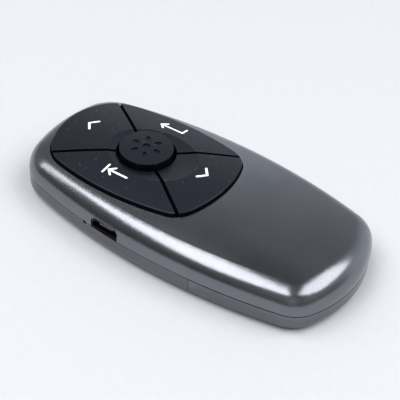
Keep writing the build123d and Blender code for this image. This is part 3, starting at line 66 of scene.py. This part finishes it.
def add_camera():
    """The photograph's view of the object."""
    right, up, back = camera_axes()
    aside = (CENTRE_X - PICTURE / 2) / FOCAL_PX * DISTANCE
    lower = (CENTRE_Y - PICTURE / 2) / FOCAL_PX * DISTANCE
    data = bpy.data.cameras.new("camera")
    data.sensor_width = SENSOR
    data.lens = FOCAL_PX * SENSOR / PICTURE
    data.clip_start = CLIP_START
    data.clip_end = CLIP_END
    obj = bpy.data.objects.new("camera", data)
    place = TARGET + back * DISTANCE - right * aside + up * lower
    matrix = obj.matrix_world.copy()
    for row in range(3):
        for column, axis in enumerate((right, up, back, place)):
            matrix[row][column] = axis[row]
    obj.matrix_world = matrix
    scene.collection.objects.link(obj)
    scene.camera = obj


add_camera()


# ---------------------------------------------------------------- node helpers
NOISE_LOW, NOISE_HIGH = 0.3, 0.7        # most of a noise's values lie between these
MIX_FACTOR, MIX_FIRST, MIX_SECOND = 0, 6, 7     # inputs of a colour Mix node
COLOUR_OUT = 2                          # its output


def new_material(name):
    """An empty node material with a principled shader, as (material, tree, shader)."""
    material = bpy.data.materials.new(name)
    material.use_nodes = True
    tree = material.node_tree
    shader = tree.nodes["Principled BSDF"]
    return material, tree, shader


def node(tree, kind, **settings):
    """A node with its properties and unlinked inputs set."""
    made = tree.nodes.new(kind)
    for key, value in settings.items():
        if key in made.inputs.keys():
            made.inputs[key].default_value = value
        else:
            setattr(made, key, value)
    return made


def link(tree, source, output, target, socket):
    """Join an output to an input, each by name or number."""
    tree.links.new(source.outputs[output], target.inputs[socket])


def place_mm(tree):
    """The object's own coordinates, in millimetres."""
    coordinates = node(tree, "ShaderNodeTexCoord")
    scale = node(tree, "ShaderNodeVectorMath", operation="SCALE")
    scale.inputs["Scale"].default_value = 1.0 / MM
    link(tree, coordinates, "Object", scale, 0)
    return scale


def noise(tree, place, scale, detail=3.0, roughness=0.5, distortion=0.0):
    """Noise with so many features per millimetre."""
    made = node(tree, "ShaderNodeTexNoise", Scale=scale, Detail=detail, Roughness=roughness,
                Distortion=distortion)
    link(tree, place, 0, made, "Vector")
    return made


def cells(tree, place, scale, **settings):
    """Voronoi cells, so many per millimetre."""
    made = node(tree, "ShaderNodeTexVoronoi", Scale=scale, **settings)
    link(tree, place, 0, made, "Vector")
    return made


def ramp(tree, source, output, stops):
    """A colour ramp over an output. A stop is (place, grey or colour)."""
    made = node(tree, "ShaderNodeValToRGB")
    elements = made.color_ramp.elements
    while len(elements) < len(stops):
        elements.new(0.5)
    for element, (place, colour) in zip(elements, stops):
        element.position = place
        rgb = (colour,) * 3 if isinstance(colour, float) else colour
        element.color = (*rgb, 1.0)
    link(tree, source, output, made, "Fac")
    return made


def span(tree, source, output, low, high, from_low=0.0, from_high=1.0):
    """An output mapped from one range onto another."""
    made = node(tree, "ShaderNodeMapRange")
    made.inputs["From Min"].default_value = from_low
    made.inputs["From Max"].default_value = from_high
    made.inputs["To Min"].default_value = low
    made.inputs["To Max"].default_value = high
    link(tree, source, output, made, "Value")
    return made


def roughen(tree, shader, source, low, high, from_low=NOISE_LOW, from_high=NOISE_HIGH):
    """The shader's roughness, varied by a noise."""
    varied = span(tree, source, "Fac", low, high, from_low, from_high)
    link(tree, varied, "Result", shader, "Roughness")


def bump(tree, source, output, distance_mm, below=None):
    """A bump of so many millimetres, on top of another one if given."""
    made = node(tree, "ShaderNodeBump", Strength=1.0, Distance=distance_mm * MM)
    link(tree, source, output, made, "Height")
    if below is not None:
        link(tree, below, "Normal", made, "Normal")
    return made


def mix_colour(tree, factor, factor_output, first, second):
    """Two colours mixed by a factor. A colour is a tuple or a (node, output) pair."""
    made = node(tree, "ShaderNodeMix", data_type="RGBA")
    link(tree, factor, factor_output, made, MIX_FACTOR)
    for socket, colour in ((MIX_FIRST, first), (MIX_SECOND, second)):
        if isinstance(colour[0], bpy.types.Node):
            link(tree, colour[0], colour[1], made, socket)
        else:
            made.inputs[socket].default_value = (*colour, 1.0)
    return made


def multiply_colour(tree, first, second):
    """Two (node, output) colours multiplied."""
    made = node(tree, "ShaderNodeMix", data_type="RGBA", blend_type="MULTIPLY")
    made.inputs[MIX_FACTOR].default_value = 1.0
    link(tree, *first, made, MIX_FIRST)
    link(tree, *second, made, MIX_SECOND)
    return made


def tinted(grey, tint):
    """A grey or a colour, times a tint or a number."""
    parts = (grey,) * 3 if isinstance(grey, float) else grey
    tints = (tint,) * 3 if isinstance(tint, float) else tint
    return tuple(part * share for part, share in zip(parts, tints))


# ---------------------------------------------------------------- materials
PAINT = (0.172, 0.181, 0.199)
PAINT_LIGHT = (0.188, 0.197, 0.216)
PAINT_WORN = (0.30, 0.31, 0.33)
GRAIN_FULL_X, GRAIN_FAINT_X = -24.0, 12.0       # the paint's grain fades out between these
GRAIN_FAINT = 0.30
DUST = (0.30, 0.31, 0.34)
DUST_STRENGTH = 0.70
SIDE_Z, TOP_Z = 0.45, 0.80              # upward part of the normal on a key's side and on its top


def casing_material(name, painted_shade_factor):
    """Satin metallic paint on moulded plastic: fine flakes, faint clouding and rubbed edges. A factor below
    1 darkens the whole tone as painted shade.
    """
    material, tree, shader = new_material(name)
    place = place_mm(tree)
    flakes = cells(tree, place, scale=4.2)
    fine = noise(tree, place, scale=9.0, detail=4.0, roughness=0.7)
    cloud = noise(tree, place, scale=0.09, detail=3.0, roughness=0.55)
    tone = ramp(tree, flakes, "Color", [(0.15, tinted(PAINT, painted_shade_factor)), (0.85, tinted(PAINT_LIGHT, painted_shade_factor))])
    shade = ramp(tree, cloud, "Fac", [(NOISE_LOW, 0.90), (NOISE_HIGH, 1.0)])
    clouded = multiply_colour(tree, (tone, "Color"), (shade, "Color"))
    edges = node(tree, "ShaderNodeNewGeometry")
    worn = ramp(tree, edges, "Pointiness", [(0.56, 0.0), (0.66, 0.35)])
    colour = mix_colour(tree, worn, "Color", (clouded, COLOUR_OUT), PAINT_WORN)
    link(tree, colour, COLOUR_OUT, shader, "Base Color")
    roughen(tree, shader, fine, 0.18, 0.27)
    grain = bump(tree, flakes, "Color", distance_mm=0.003)
    pitted = bump(tree, fine, "Fac", distance_mm=0.002, below=grain)
    along = node(tree, "ShaderNodeSeparateXYZ")
    link(tree, place, 0, along, 0)
    fading = span(tree, along, "X", 1.0, GRAIN_FAINT, GRAIN_FULL_X, GRAIN_FAINT_X)
    for layer in (grain, pitted):
        link(tree, fading, "Result", layer, "Strength")
    link(tree, pitted, "Normal", shader, "Normal")
    shader.inputs["Metallic"].default_value = 1.0
    return material


def dusty(tree, place, tone):
    """A colour with specks of dust here and there."""
    dots = cells(tree, place, scale=1.2)
    size = ramp(tree, dots, "Distance", [(0.09, 1.0), (0.15, 0.0)])
    chosen = ramp(tree, dots, "Color", [(0.60, 0.0), (0.85, 1.0)])
    both = node(tree, "ShaderNodeMath", operation="MULTIPLY")
    link(tree, size, "Color", both, 0)
    link(tree, chosen, "Color", both, 1)
    fade = node(tree, "ShaderNodeMath", operation="MULTIPLY")
    link(tree, both, 0, fade, 0)
    fade.inputs[1].default_value = DUST_STRENGTH
    return mix_colour(tree, fade, 0, (tone, COLOUR_OUT), DUST)


def paint_side_shade(tree, shader, shaded_side_shine, shine_level):
    """Less shine on a key's sides than on its top: painted shade on the sides, which sit in the gap round
    the key.
    """
    facing_up = node(tree, "ShaderNodeNewGeometry")
    parts = node(tree, "ShaderNodeSeparateXYZ")
    link(tree, facing_up, "Normal", parts, 0)
    shine = span(tree, parts, "Z", shaded_side_shine, shine_level, SIDE_Z, TOP_Z)
    link(tree, shine, "Result", shader, "Specular IOR Level")


def moulded_material(name, dark, light, rough, grain_mm=0.012, grain_scale=3.2, specks=False,
                     shine_level=0.42, shaded_side_shine=None, tint=(1.0, 1.0, 1.0)):
    """Moulded plastic with a fine spark-eroded grain and, where hands reach it, specks of dust."""
    material, tree, shader = new_material(name)
    place = place_mm(tree)
    grain = noise(tree, place, scale=grain_scale, detail=5.0, roughness=0.62)
    cloud = noise(tree, place, scale=0.12, detail=2.0)
    tone = mix_colour(tree, cloud, "Fac", dark, light)
    if specks:
        tone = dusty(tree, place, tone)
    link(tree, tone, COLOUR_OUT, shader, "Base Color")
    roughen(tree, shader, grain, rough - 0.06, rough + 0.08)
    raised = bump(tree, grain, "Fac", grain_mm)
    link(tree, raised, "Normal", shader, "Normal")
    shader.inputs["Specular IOR Level"].default_value = shine_level
    # Where given, the sides get less shine: painted shade for sides that sit in the gap round the key.
    if shaded_side_shine is not None:
        paint_side_shade(tree, shader, shaded_side_shine, shine_level)
    shader.inputs["Specular Tint"].default_value = (*tint, 1.0)
    return material


def metal_material(name, dark, light, rough, brush=(1.0, 1.0, 14.0), bump_mm=0.003):
    """Bare metal with a brushed or rolled grain along one direction."""
    material, tree, shader = new_material(name)
    place = place_mm(tree)
    stretch = node(tree, "ShaderNodeVectorMath", operation="MULTIPLY")
    stretch.inputs[1].default_value = brush
    link(tree, place, 0, stretch, 0)
    lines = noise(tree, stretch, scale=1.6, detail=4.0, roughness=0.6)
    patches = noise(tree, place, scale=0.5, detail=2.0)
    tone = mix_colour(tree, patches, "Fac", dark, light)
    link(tree, tone, COLOUR_OUT, shader, "Base Color")
    roughen(tree, shader, lines, rough - 0.07, rough + 0.10)
    raised = bump(tree, lines, "Fac", bump_mm)
    link(tree, raised, "Normal", shader, "Normal")
    shader.inputs["Metallic"].default_value = 1.0
    return material


def clear_material(name, tint, rough, transmission, ior=1.49):
    """Clear or tinted moulded plastic or glass with faint moulding swirls."""
    material, tree, shader = new_material(name)
    place = place_mm(tree)
    swirl = noise(tree, place, scale=0.8, detail=2.0, distortion=1.5)
    tone = mix_colour(tree, swirl, "Fac", tint, tinted(tint, 0.86))
    link(tree, tone, COLOUR_OUT, shader, "Base Color")
    roughen(tree, shader, swirl, rough, rough + 0.05, 0.0, 1.0)
    raised = bump(tree, swirl, "Fac", distance_mm=0.002)
    link(tree, raised, "Normal", shader, "Normal")
    shader.inputs["Transmission Weight"].default_value = transmission
    shader.inputs["IOR"].default_value = ior
    return material


def board_material():
    """Green solder mask over glass fibre, with copper tracks showing through and pale dots for vias."""
    mask, track, via = (0.012, 0.085, 0.036), (0.030, 0.17, 0.060), (0.55, 0.50, 0.36)
    material, tree, shader = new_material("board_mask")
    place = place_mm(tree)
    tracks = cells(tree, place, scale=0.35, feature="DISTANCE_TO_EDGE", distance="CHEBYCHEV")
    lines = ramp(tree, tracks, "Distance", [(0.03, 1.0), (0.06, 0.0)])
    green = mix_colour(tree, lines, "Color", mask, track)
    vias = cells(tree, place, scale=0.5)
    dots = ramp(tree, vias, "Distance", [(0.08, 1.0), (0.11, 0.0)])
    colour = mix_colour(tree, dots, "Color", (green, COLOUR_OUT), via)
    link(tree, colour, COLOUR_OUT, shader, "Base Color")
    weave = noise(tree, place, scale=2.5, detail=2.0)
    roughen(tree, shader, weave, 0.28, 0.42, 0.0, 1.0)
    raised = bump(tree, lines, "Color", distance_mm=0.02)
    link(tree, raised, "Normal", shader, "Normal")
    return material


BLACK = (0.0022, 0.0028, 0.0048)
BLACK_LIGHT = (0.0040, 0.0050, 0.0080)
BLUE_SHINE = (0.68, 0.76, 0.96)
PLAIN_BLACK = (0.010, 0.010, 0.011)
PLAIN_BLACK_LIGHT = (0.016, 0.016, 0.018)

CASING = casing_material("casing_paint", 1.0)
# The lower shell and the receiver cover take the same paint made darker. This is painted shade for the lower
# wall, which reflects the shaded floor beside it.
SHADED_LOWER_CASING = casing_material("lower_casing_painted_shade", 0.80)
KEY = moulded_material("key_plastic", BLACK, BLACK_LIGHT, 0.40, specks=True,
                       shine_level=0.36, shaded_side_shine=0.02, tint=BLUE_SHINE)
BUTTON = moulded_material("button_plastic", BLACK, BLACK_LIGHT, 0.50, grain_mm=0.020, grain_scale=2.6,
                          specks=True, shine_level=0.30, shaded_side_shine=0.02, tint=BLUE_SHINE)
TRAY = moulded_material("tray_plastic", PLAIN_BLACK, PLAIN_BLACK_LIGHT, 0.60)
SWITCH = moulded_material("switch_plastic", PLAIN_BLACK, PLAIN_BLACK_LIGHT, 0.50)
KNOB = moulded_material("knob_plastic", PLAIN_BLACK, PLAIN_BLACK_LIGHT, 0.50, specks=True)
RECEIVER = moulded_material("receiver_plastic", PLAIN_BLACK, PLAIN_BLACK_LIGHT, 0.42, specks=True)
INSULATOR = moulded_material("insulator_plastic", (0.006, 0.006, 0.007), (0.010, 0.010, 0.011), 0.40)
CHIP = moulded_material("chip_moulding", (0.012, 0.012, 0.013), (0.022, 0.022, 0.023), 0.60,
                        grain_mm=0.02, grain_scale=5.0)
CERAMIC = moulded_material("white_ceramic", (0.62, 0.61, 0.57), (0.74, 0.73, 0.69), 0.45,
                           grain_mm=0.01, grain_scale=4.0)
PLUNGER = moulded_material("plunger_plastic", (0.33, 0.28, 0.21), (0.42, 0.37, 0.28), 0.50)
TAPE = moulded_material("foam_tape", (0.60, 0.60, 0.57), (0.72, 0.72, 0.69), 0.85,
                        grain_mm=0.05, grain_scale=3.0)
LAMP = moulded_material("lamp_body", (0.62, 0.60, 0.45), (0.78, 0.76, 0.60), 0.35)
# A lighter grey for the socket's tongue than for the other black plastics: painted light for the thin lit
# strip inside the socket's mouth.
LIT_PORT_INSULATOR = moulded_material("port_insulator_painted_light", (0.10, 0.10, 0.11), (0.13, 0.13, 0.14), 0.40)
# Nearly black steel for the socket's shell: painted shade, standing in for the shadow inside the socket's
# opening.
SHADED_PORT_STEEL = metal_material("port_steel_painted_shade", (0.022, 0.022, 0.025), (0.036, 0.036, 0.040), 0.36)
PLUG_STEEL = metal_material("plug_steel", (0.13, 0.13, 0.14), (0.20, 0.20, 0.21), 0.36)
CLAMP_STEEL = metal_material("clamp_steel", (0.46, 0.46, 0.47), (0.60, 0.60, 0.61), 0.35, (1.0, 12.0, 1.0))
SCREW_STEEL = metal_material("screw_steel", (0.10, 0.10, 0.11), (0.18, 0.18, 0.19), 0.36, (2.0, 2.0, 2.0))
NICKEL = metal_material("nickel_strip", (0.50, 0.48, 0.44), (0.62, 0.60, 0.55), 0.33, (1.0, 10.0, 1.0))
FOIL = metal_material("battery_foil", (0.50, 0.51, 0.52), (0.66, 0.67, 0.68), 0.45, (0.4, 0.4, 0.4),
                      bump_mm=0.06)
CAN = metal_material("metal_can", (0.58, 0.58, 0.58), (0.70, 0.70, 0.70), 0.28, (8.0, 1.0, 1.0))
GOLD = metal_material("gold_plating", (0.78, 0.56, 0.20), (0.90, 0.68, 0.30), 0.26, (8.0, 1.0, 1.0))
BRASS = metal_material("turned_brass", (0.62, 0.44, 0.17), (0.76, 0.56, 0.25), 0.30, (14.0, 1.0, 1.0))
LENS = clear_material("laser_lens_glass", (0.82, 0.88, 0.92), 0.02, 0.95, ior=1.52)
WINDOW = clear_material("laser_window_plastic", (0.22, 0.012, 0.014), 0.06, 0.60)
LIGHT_PIPE = clear_material("smoked_light_pipe", (0.004, 0.004, 0.005), 0.30, 0.10)
BOARD = board_material()
INK = moulded_material("legend_ink", (0.84, 0.84, 0.87), (0.90, 0.90, 0.92), 0.45,
                       grain_mm=0.004, grain_scale=6.0)

FINISHES = {
    "top_shell": CASING, "bottom_shell": SHADED_LOWER_CASING, "receiver_cover": SHADED_LOWER_CASING, "keypad_tray": TRAY,
    "key_previous": KEY, "key_next": KEY, "key_tab": KEY, "key_enter": KEY, "key_laser": BUTTON,
    "main_board": BOARD, "battery": FOIL, "battery_tape": TAPE, "battery_tabs": NICKEL,
    "radio_chip": CHIP, "charger_chip": CHIP, "crystal": CAN, "chip_antenna": CERAMIC,
    "usb_port_shell": SHADED_PORT_STEEL, "usb_port_insulator": LIT_PORT_INSULATOR, "usb_port_contacts": GOLD,
    "status_led": LAMP, "led_light_pipe": LIGHT_PIPE, "power_switch_body": SWITCH, "power_switch_knob": KNOB,
    "laser_barrel": BRASS, "laser_lens": LENS, "laser_window": WINDOW, "laser_clamp": CLAMP_STEEL,
    "laser_leads": NICKEL, "receiver_case": RECEIVER, "receiver_plug": PLUG_STEEL,
    "receiver_tongue": INSULATOR, "receiver_contacts": GOLD, "shell_screws": SCREW_STEEL,
    "board_screws": SCREW_STEEL, "tray_screws": SCREW_STEEL, "laser_clamp_screws": SCREW_STEEL,
}

for name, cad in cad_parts.items():
    finish = FINISHES.get(name) or (SWITCH if name.startswith("switch_body") else PLUNGER)
    for material_slot in cad.material_slots:
        material_slot.material = finish


# ---------------------------------------------------------------- printed legends
INK_THICKNESS = 0.012 * MM
INK_SUNK = 0.02 * MM
INK_STEP = 0.22 * MM                    # longest side of a triangle that follows a key's top
SPLIT_ROUNDS = 6
RAY_HEIGHT = 30.0 * MM                  # rays start well above the keys
CAP_STEPS = 8                           # sides of a stroke's round end
MITRE_LIMIT = 0.5


def key_surface(name):
    """A search tree over a key's mesh."""
    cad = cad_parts[name]
    vertices = [v.co.copy() for v in cad.data.vertices]
    return BVHTree.FromPolygons(vertices, [tuple(p.vertices) for p in cad.data.polygons])


def round_cap(centre, direction, half):
    """The points round the end of a stroke, from its right side to its left."""
    start = math.atan2(direction.y, direction.x) - math.pi / 2
    angles = [start + math.pi * step / CAP_STEPS for step in range(1, CAP_STEPS)]
    return [Vector(centre) + Vector((math.cos(angle), math.sin(angle))) * half for angle in angles]


def stroke_outline(points, width):
    """The outline of a line of points drawn with a round pen."""
    half = width / 2
    left, right = [], []
    count = len(points)
    directions = [(Vector(points[i + 1]) - Vector(points[i])).normalized() for i in range(count - 1)]
    for i, point in enumerate(points):
        before = directions[max(i - 1, 0)]
        after = directions[min(i, count - 2)]
        along = (before + after).normalized()
        normal = Vector((-along.y, along.x))
        reach = half / max(MITRE_LIMIT, normal.dot(Vector((-before.y, before.x))))
        left.append(Vector(point) + normal * reach)
        right.append(Vector(point) - normal * reach)
    return (right + round_cap(points[-1], directions[-1], half)
            + left[::-1] + round_cap(points[0], -directions[0], half))


def flat_strokes(strokes):
    """A sheet of small flat triangles that fills the strokes' outlines."""
    sheet = bmesh.new()
    for points, width in strokes:
        outline = [Vector((p[0] * MM, p[1] * MM, 0.0)) for p in stroke_outline(points, width)]
        sheet.faces.new([sheet.verts.new(p) for p in outline])
    bmesh.ops.triangulate(sheet, faces=sheet.faces[:])
    for _ in range(SPLIT_ROUNDS):
        long_edges = [e for e in sheet.edges if e.calc_length() > INK_STEP]
        if not long_edges:
            break
        bmesh.ops.subdivide_edges(sheet, edges=long_edges, cuts=1)
        bmesh.ops.triangulate(sheet, faces=[f for f in sheet.faces if len(f.verts) > 3])
    return sheet


def printed_mark(name, key_name, strokes):
    """Flat strokes of ink laid on a key's top. Strokes are (points, width), in millimetres in plan."""
    surface = key_surface(key_name)
    sheet = flat_strokes(strokes)
    for vert in sheet.verts:
        above = Vector((vert.co.x, vert.co.y, RAY_HEIGHT))
        hit, normal, _, _ = surface.ray_cast(above, Vector((0.0, 0.0, -1.0)))
        vert.co = hit + normal * INK_THICKNESS
    bmesh.ops.recalc_face_normals(sheet, faces=sheet.faces[:])
    for face in sheet.faces:
        if face.normal.z < 0:
            face.normal_flip()
    rim = [e for e in sheet.edges if e.is_boundary]
    made = bmesh.ops.extrude_edge_only(sheet, edges=rim)
    for vert in (g for g in made["geom"] if isinstance(g, bmesh.types.BMVert)):
        vert.co.z -= INK_THICKNESS + INK_SUNK
    mesh = bpy.data.meshes.new(name)
    sheet.to_mesh(mesh)
    sheet.free()
    mesh.materials.append(INK)
    piece = bpy.data.objects.new(name, mesh)
    scene.collection.objects.link(piece)
    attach(piece, key_name + "_body")


def placed(marks, centre, turn=1):
    """Lines of points about a mark's own middle, set at a place, turned half round if turn is -1."""
    return [[(centre[0] + turn * x, centre[1] + turn * y) for x, y in points] for points in marks]


def inked(marks, pen):
    """Lines of points, each with the pen's width."""
    return [(points, pen) for points in marks]


CHEVRON_PEN = 0.58
ARROW_PEN = 0.52
CHEVRON = [[(1.55, 1.85), (0.0, 0.0), (1.55, -1.85)]]
HOOKED_ARROW = [[(-3.0, -0.55), (3.2, -0.55), (3.2, 1.35)],
                [(-1.75, 0.60), (-3.0, -0.55), (-1.75, -1.70)]]
BAR_ARROW = [[(-2.9, 0.0), (2.1, 0.0)],
             [(0.95, 1.15), (2.2, 0.0), (0.95, -1.15)],
             [(3.0, 1.3), (3.0, -1.3)]]
PREVIOUS_PLACE = (-32.6, 0.5)
NEXT_PLACE = (1.4, 1.2)
ENTER_PLACE = (-16.0, 11.9)
TAB_PLACE = (-15.7, -10.3)

printed_mark("legend_previous", "key_previous", inked(placed(CHEVRON, PREVIOUS_PLACE), CHEVRON_PEN))
printed_mark("legend_next", "key_next", inked(placed(CHEVRON, NEXT_PLACE, -1), CHEVRON_PEN))
printed_mark("legend_enter", "key_enter", inked(placed(HOOKED_ARROW, ENTER_PLACE), ARROW_PEN))
printed_mark("legend_tab", "key_tab", inked(placed(BAR_ARROW, TAB_PLACE, -1), ARROW_PEN))


# ---------------------------------------------------------------- floor, light and surroundings
FLOOR_HALF = 3.0
FLOOR_TONE = (0.492, 0.511, 0.535)
FLOOR_TONE_LIGHT = (0.507, 0.526, 0.550)
FLOOR_ROUGHNESS = 0.7

AWAY = Vector((-math.sin(AZIMUTH), math.cos(AZIMUTH), 0.0))       # level, away from the camera
ASIDE = Vector((math.cos(AZIMUTH), math.sin(AZIMUTH), 0.0))       # level, to the camera's right
LAMP_HEIGHT = 1.0
LAMP_TINT = (1.0, 0.970, 0.978)

# Brightness of the surroundings by the sine of the height angle.
WORLD_STRENGTH = 1.65
FAR_TINT = (0.965, 0.995, 1.065)
FAR_WALL = [(0.0, 0.90), (0.33, 0.76), (0.46, 0.61), (0.58, 0.49), (0.66, 0.42), (0.78, 0.29), (0.85, 0.25),
            (0.885, 0.08), (0.92, 0.01)]
NEAR_WALL = [(0.0, 0.25), (0.20, 0.32), (0.40, 0.42), (0.60, 0.36), (0.80, 0.10), (0.94, 0.01)]
WALLS_MEET = 0.15                       # the two blend this far either side of straight across
# The same from the camera's left to its right.
ACROSS = [(0.0, 0.30), (0.20, 0.35), (0.43, 0.70), (0.48, 0.92), (0.52, 0.90), (0.55, 0.82), (0.61, 0.58),
          (0.66, 0.50), (0.80, 0.62), (1.0, 0.75)]


def add_floor():
    """A plain pale table top."""
    mesh = bpy.data.meshes.new("floor")
    corners = [(-1, -1), (1, -1), (1, 1), (-1, 1)]
    mesh.from_pydata([(x * FLOOR_HALF, y * FLOOR_HALF, 0) for x, y in corners], [], [(0, 1, 2, 3)])
    floor = bpy.data.objects.new("floor", mesh)
    scene.collection.objects.link(floor)
    material, tree, shader = new_material("floor_paper")
    place = place_mm(tree)
    fibres = noise(tree, place, scale=0.6, detail=4.0)
    tone = ramp(tree, fibres, "Fac", [(NOISE_LOW, FLOOR_TONE), (NOISE_HIGH, FLOOR_TONE_LIGHT)])
    link(tree, tone, "Color", shader, "Base Color")
    shader.inputs["Roughness"].default_value = FLOOR_ROUGHNESS
    mesh.materials.append(material)


def add_softbox(name, away, aside, size_aside, size_away, radiance):
    """A level soft box that faces down, its place and size given along and across the camera's sight."""
    data = bpy.data.lights.new(name, "AREA")
    data.shape = "RECTANGLE"
    data.size, data.size_y = size_aside, size_away
    data.energy = radiance * math.pi * size_aside * size_away
    data.color = LAMP_TINT
    lamp = bpy.data.objects.new(name, data)
    lamp.location = AWAY * away + ASIDE * aside + Vector((0.0, 0.0, LAMP_HEIGHT))
    lamp.rotation_euler = (0.0, 0.0, AZIMUTH)
    scene.collection.objects.link(lamp)


def direction_share(tree, coordinates, direction):
    """How much of a ray runs along a direction, from -1 to 1."""
    made = node(tree, "ShaderNodeVectorMath", operation="DOT_PRODUCT")
    made.inputs[1].default_value = direction
    link(tree, coordinates, "Generated", made, 0)
    return made


def add_world():
    """Grey studio surroundings: one shading by height behind the object, another in front of it."""
    world = bpy.data.worlds.new("studio")
    world.use_nodes = True
    tree = world.node_tree
    background = tree.nodes["Background"]
    coordinates = node(tree, "ShaderNodeTexCoord")
    split = node(tree, "ShaderNodeSeparateXYZ")
    link(tree, coordinates, "Generated", split, 0)
    behind = ramp(tree, split, "Z", [(height, tinted(grey, FAR_TINT)) for height, grey in FAR_WALL])
    front = ramp(tree, split, "Z", NEAR_WALL)
    side = span(tree, direction_share(tree, coordinates, AWAY), "Value", 0.0, 1.0, -WALLS_MEET, WALLS_MEET)
    colour = mix_colour(tree, side, "Result", (front, "Color"), (behind, "Color"))
    shifted = span(tree, direction_share(tree, coordinates, ASIDE), "Value", 0.0, 1.0, -1.0, 1.0)
    falling = ramp(tree, shifted, "Result", ACROSS)
    shaded = multiply_colour(tree, (colour, COLOUR_OUT), (falling, "Color"))
    link(tree, shaded, COLOUR_OUT, background, "Color")
    background.inputs["Strength"].default_value = WORLD_STRENGTH
    scene.world = world


add_floor()
add_world()
add_softbox("left_softbox", away=-0.26, aside=-0.50, size_aside=0.74, size_away=1.12, radiance=5.8)
add_softbox("left_strip", away=0.27, aside=-1.56, size_aside=1.42, size_away=0.26, radiance=5.4)
add_softbox("right_softbox", away=-0.09, aside=0.86, size_aside=1.12, size_away=1.14, radiance=4.8)

scene.view_settings.view_transform = "Standard"
scene.view_settings.look = "None"
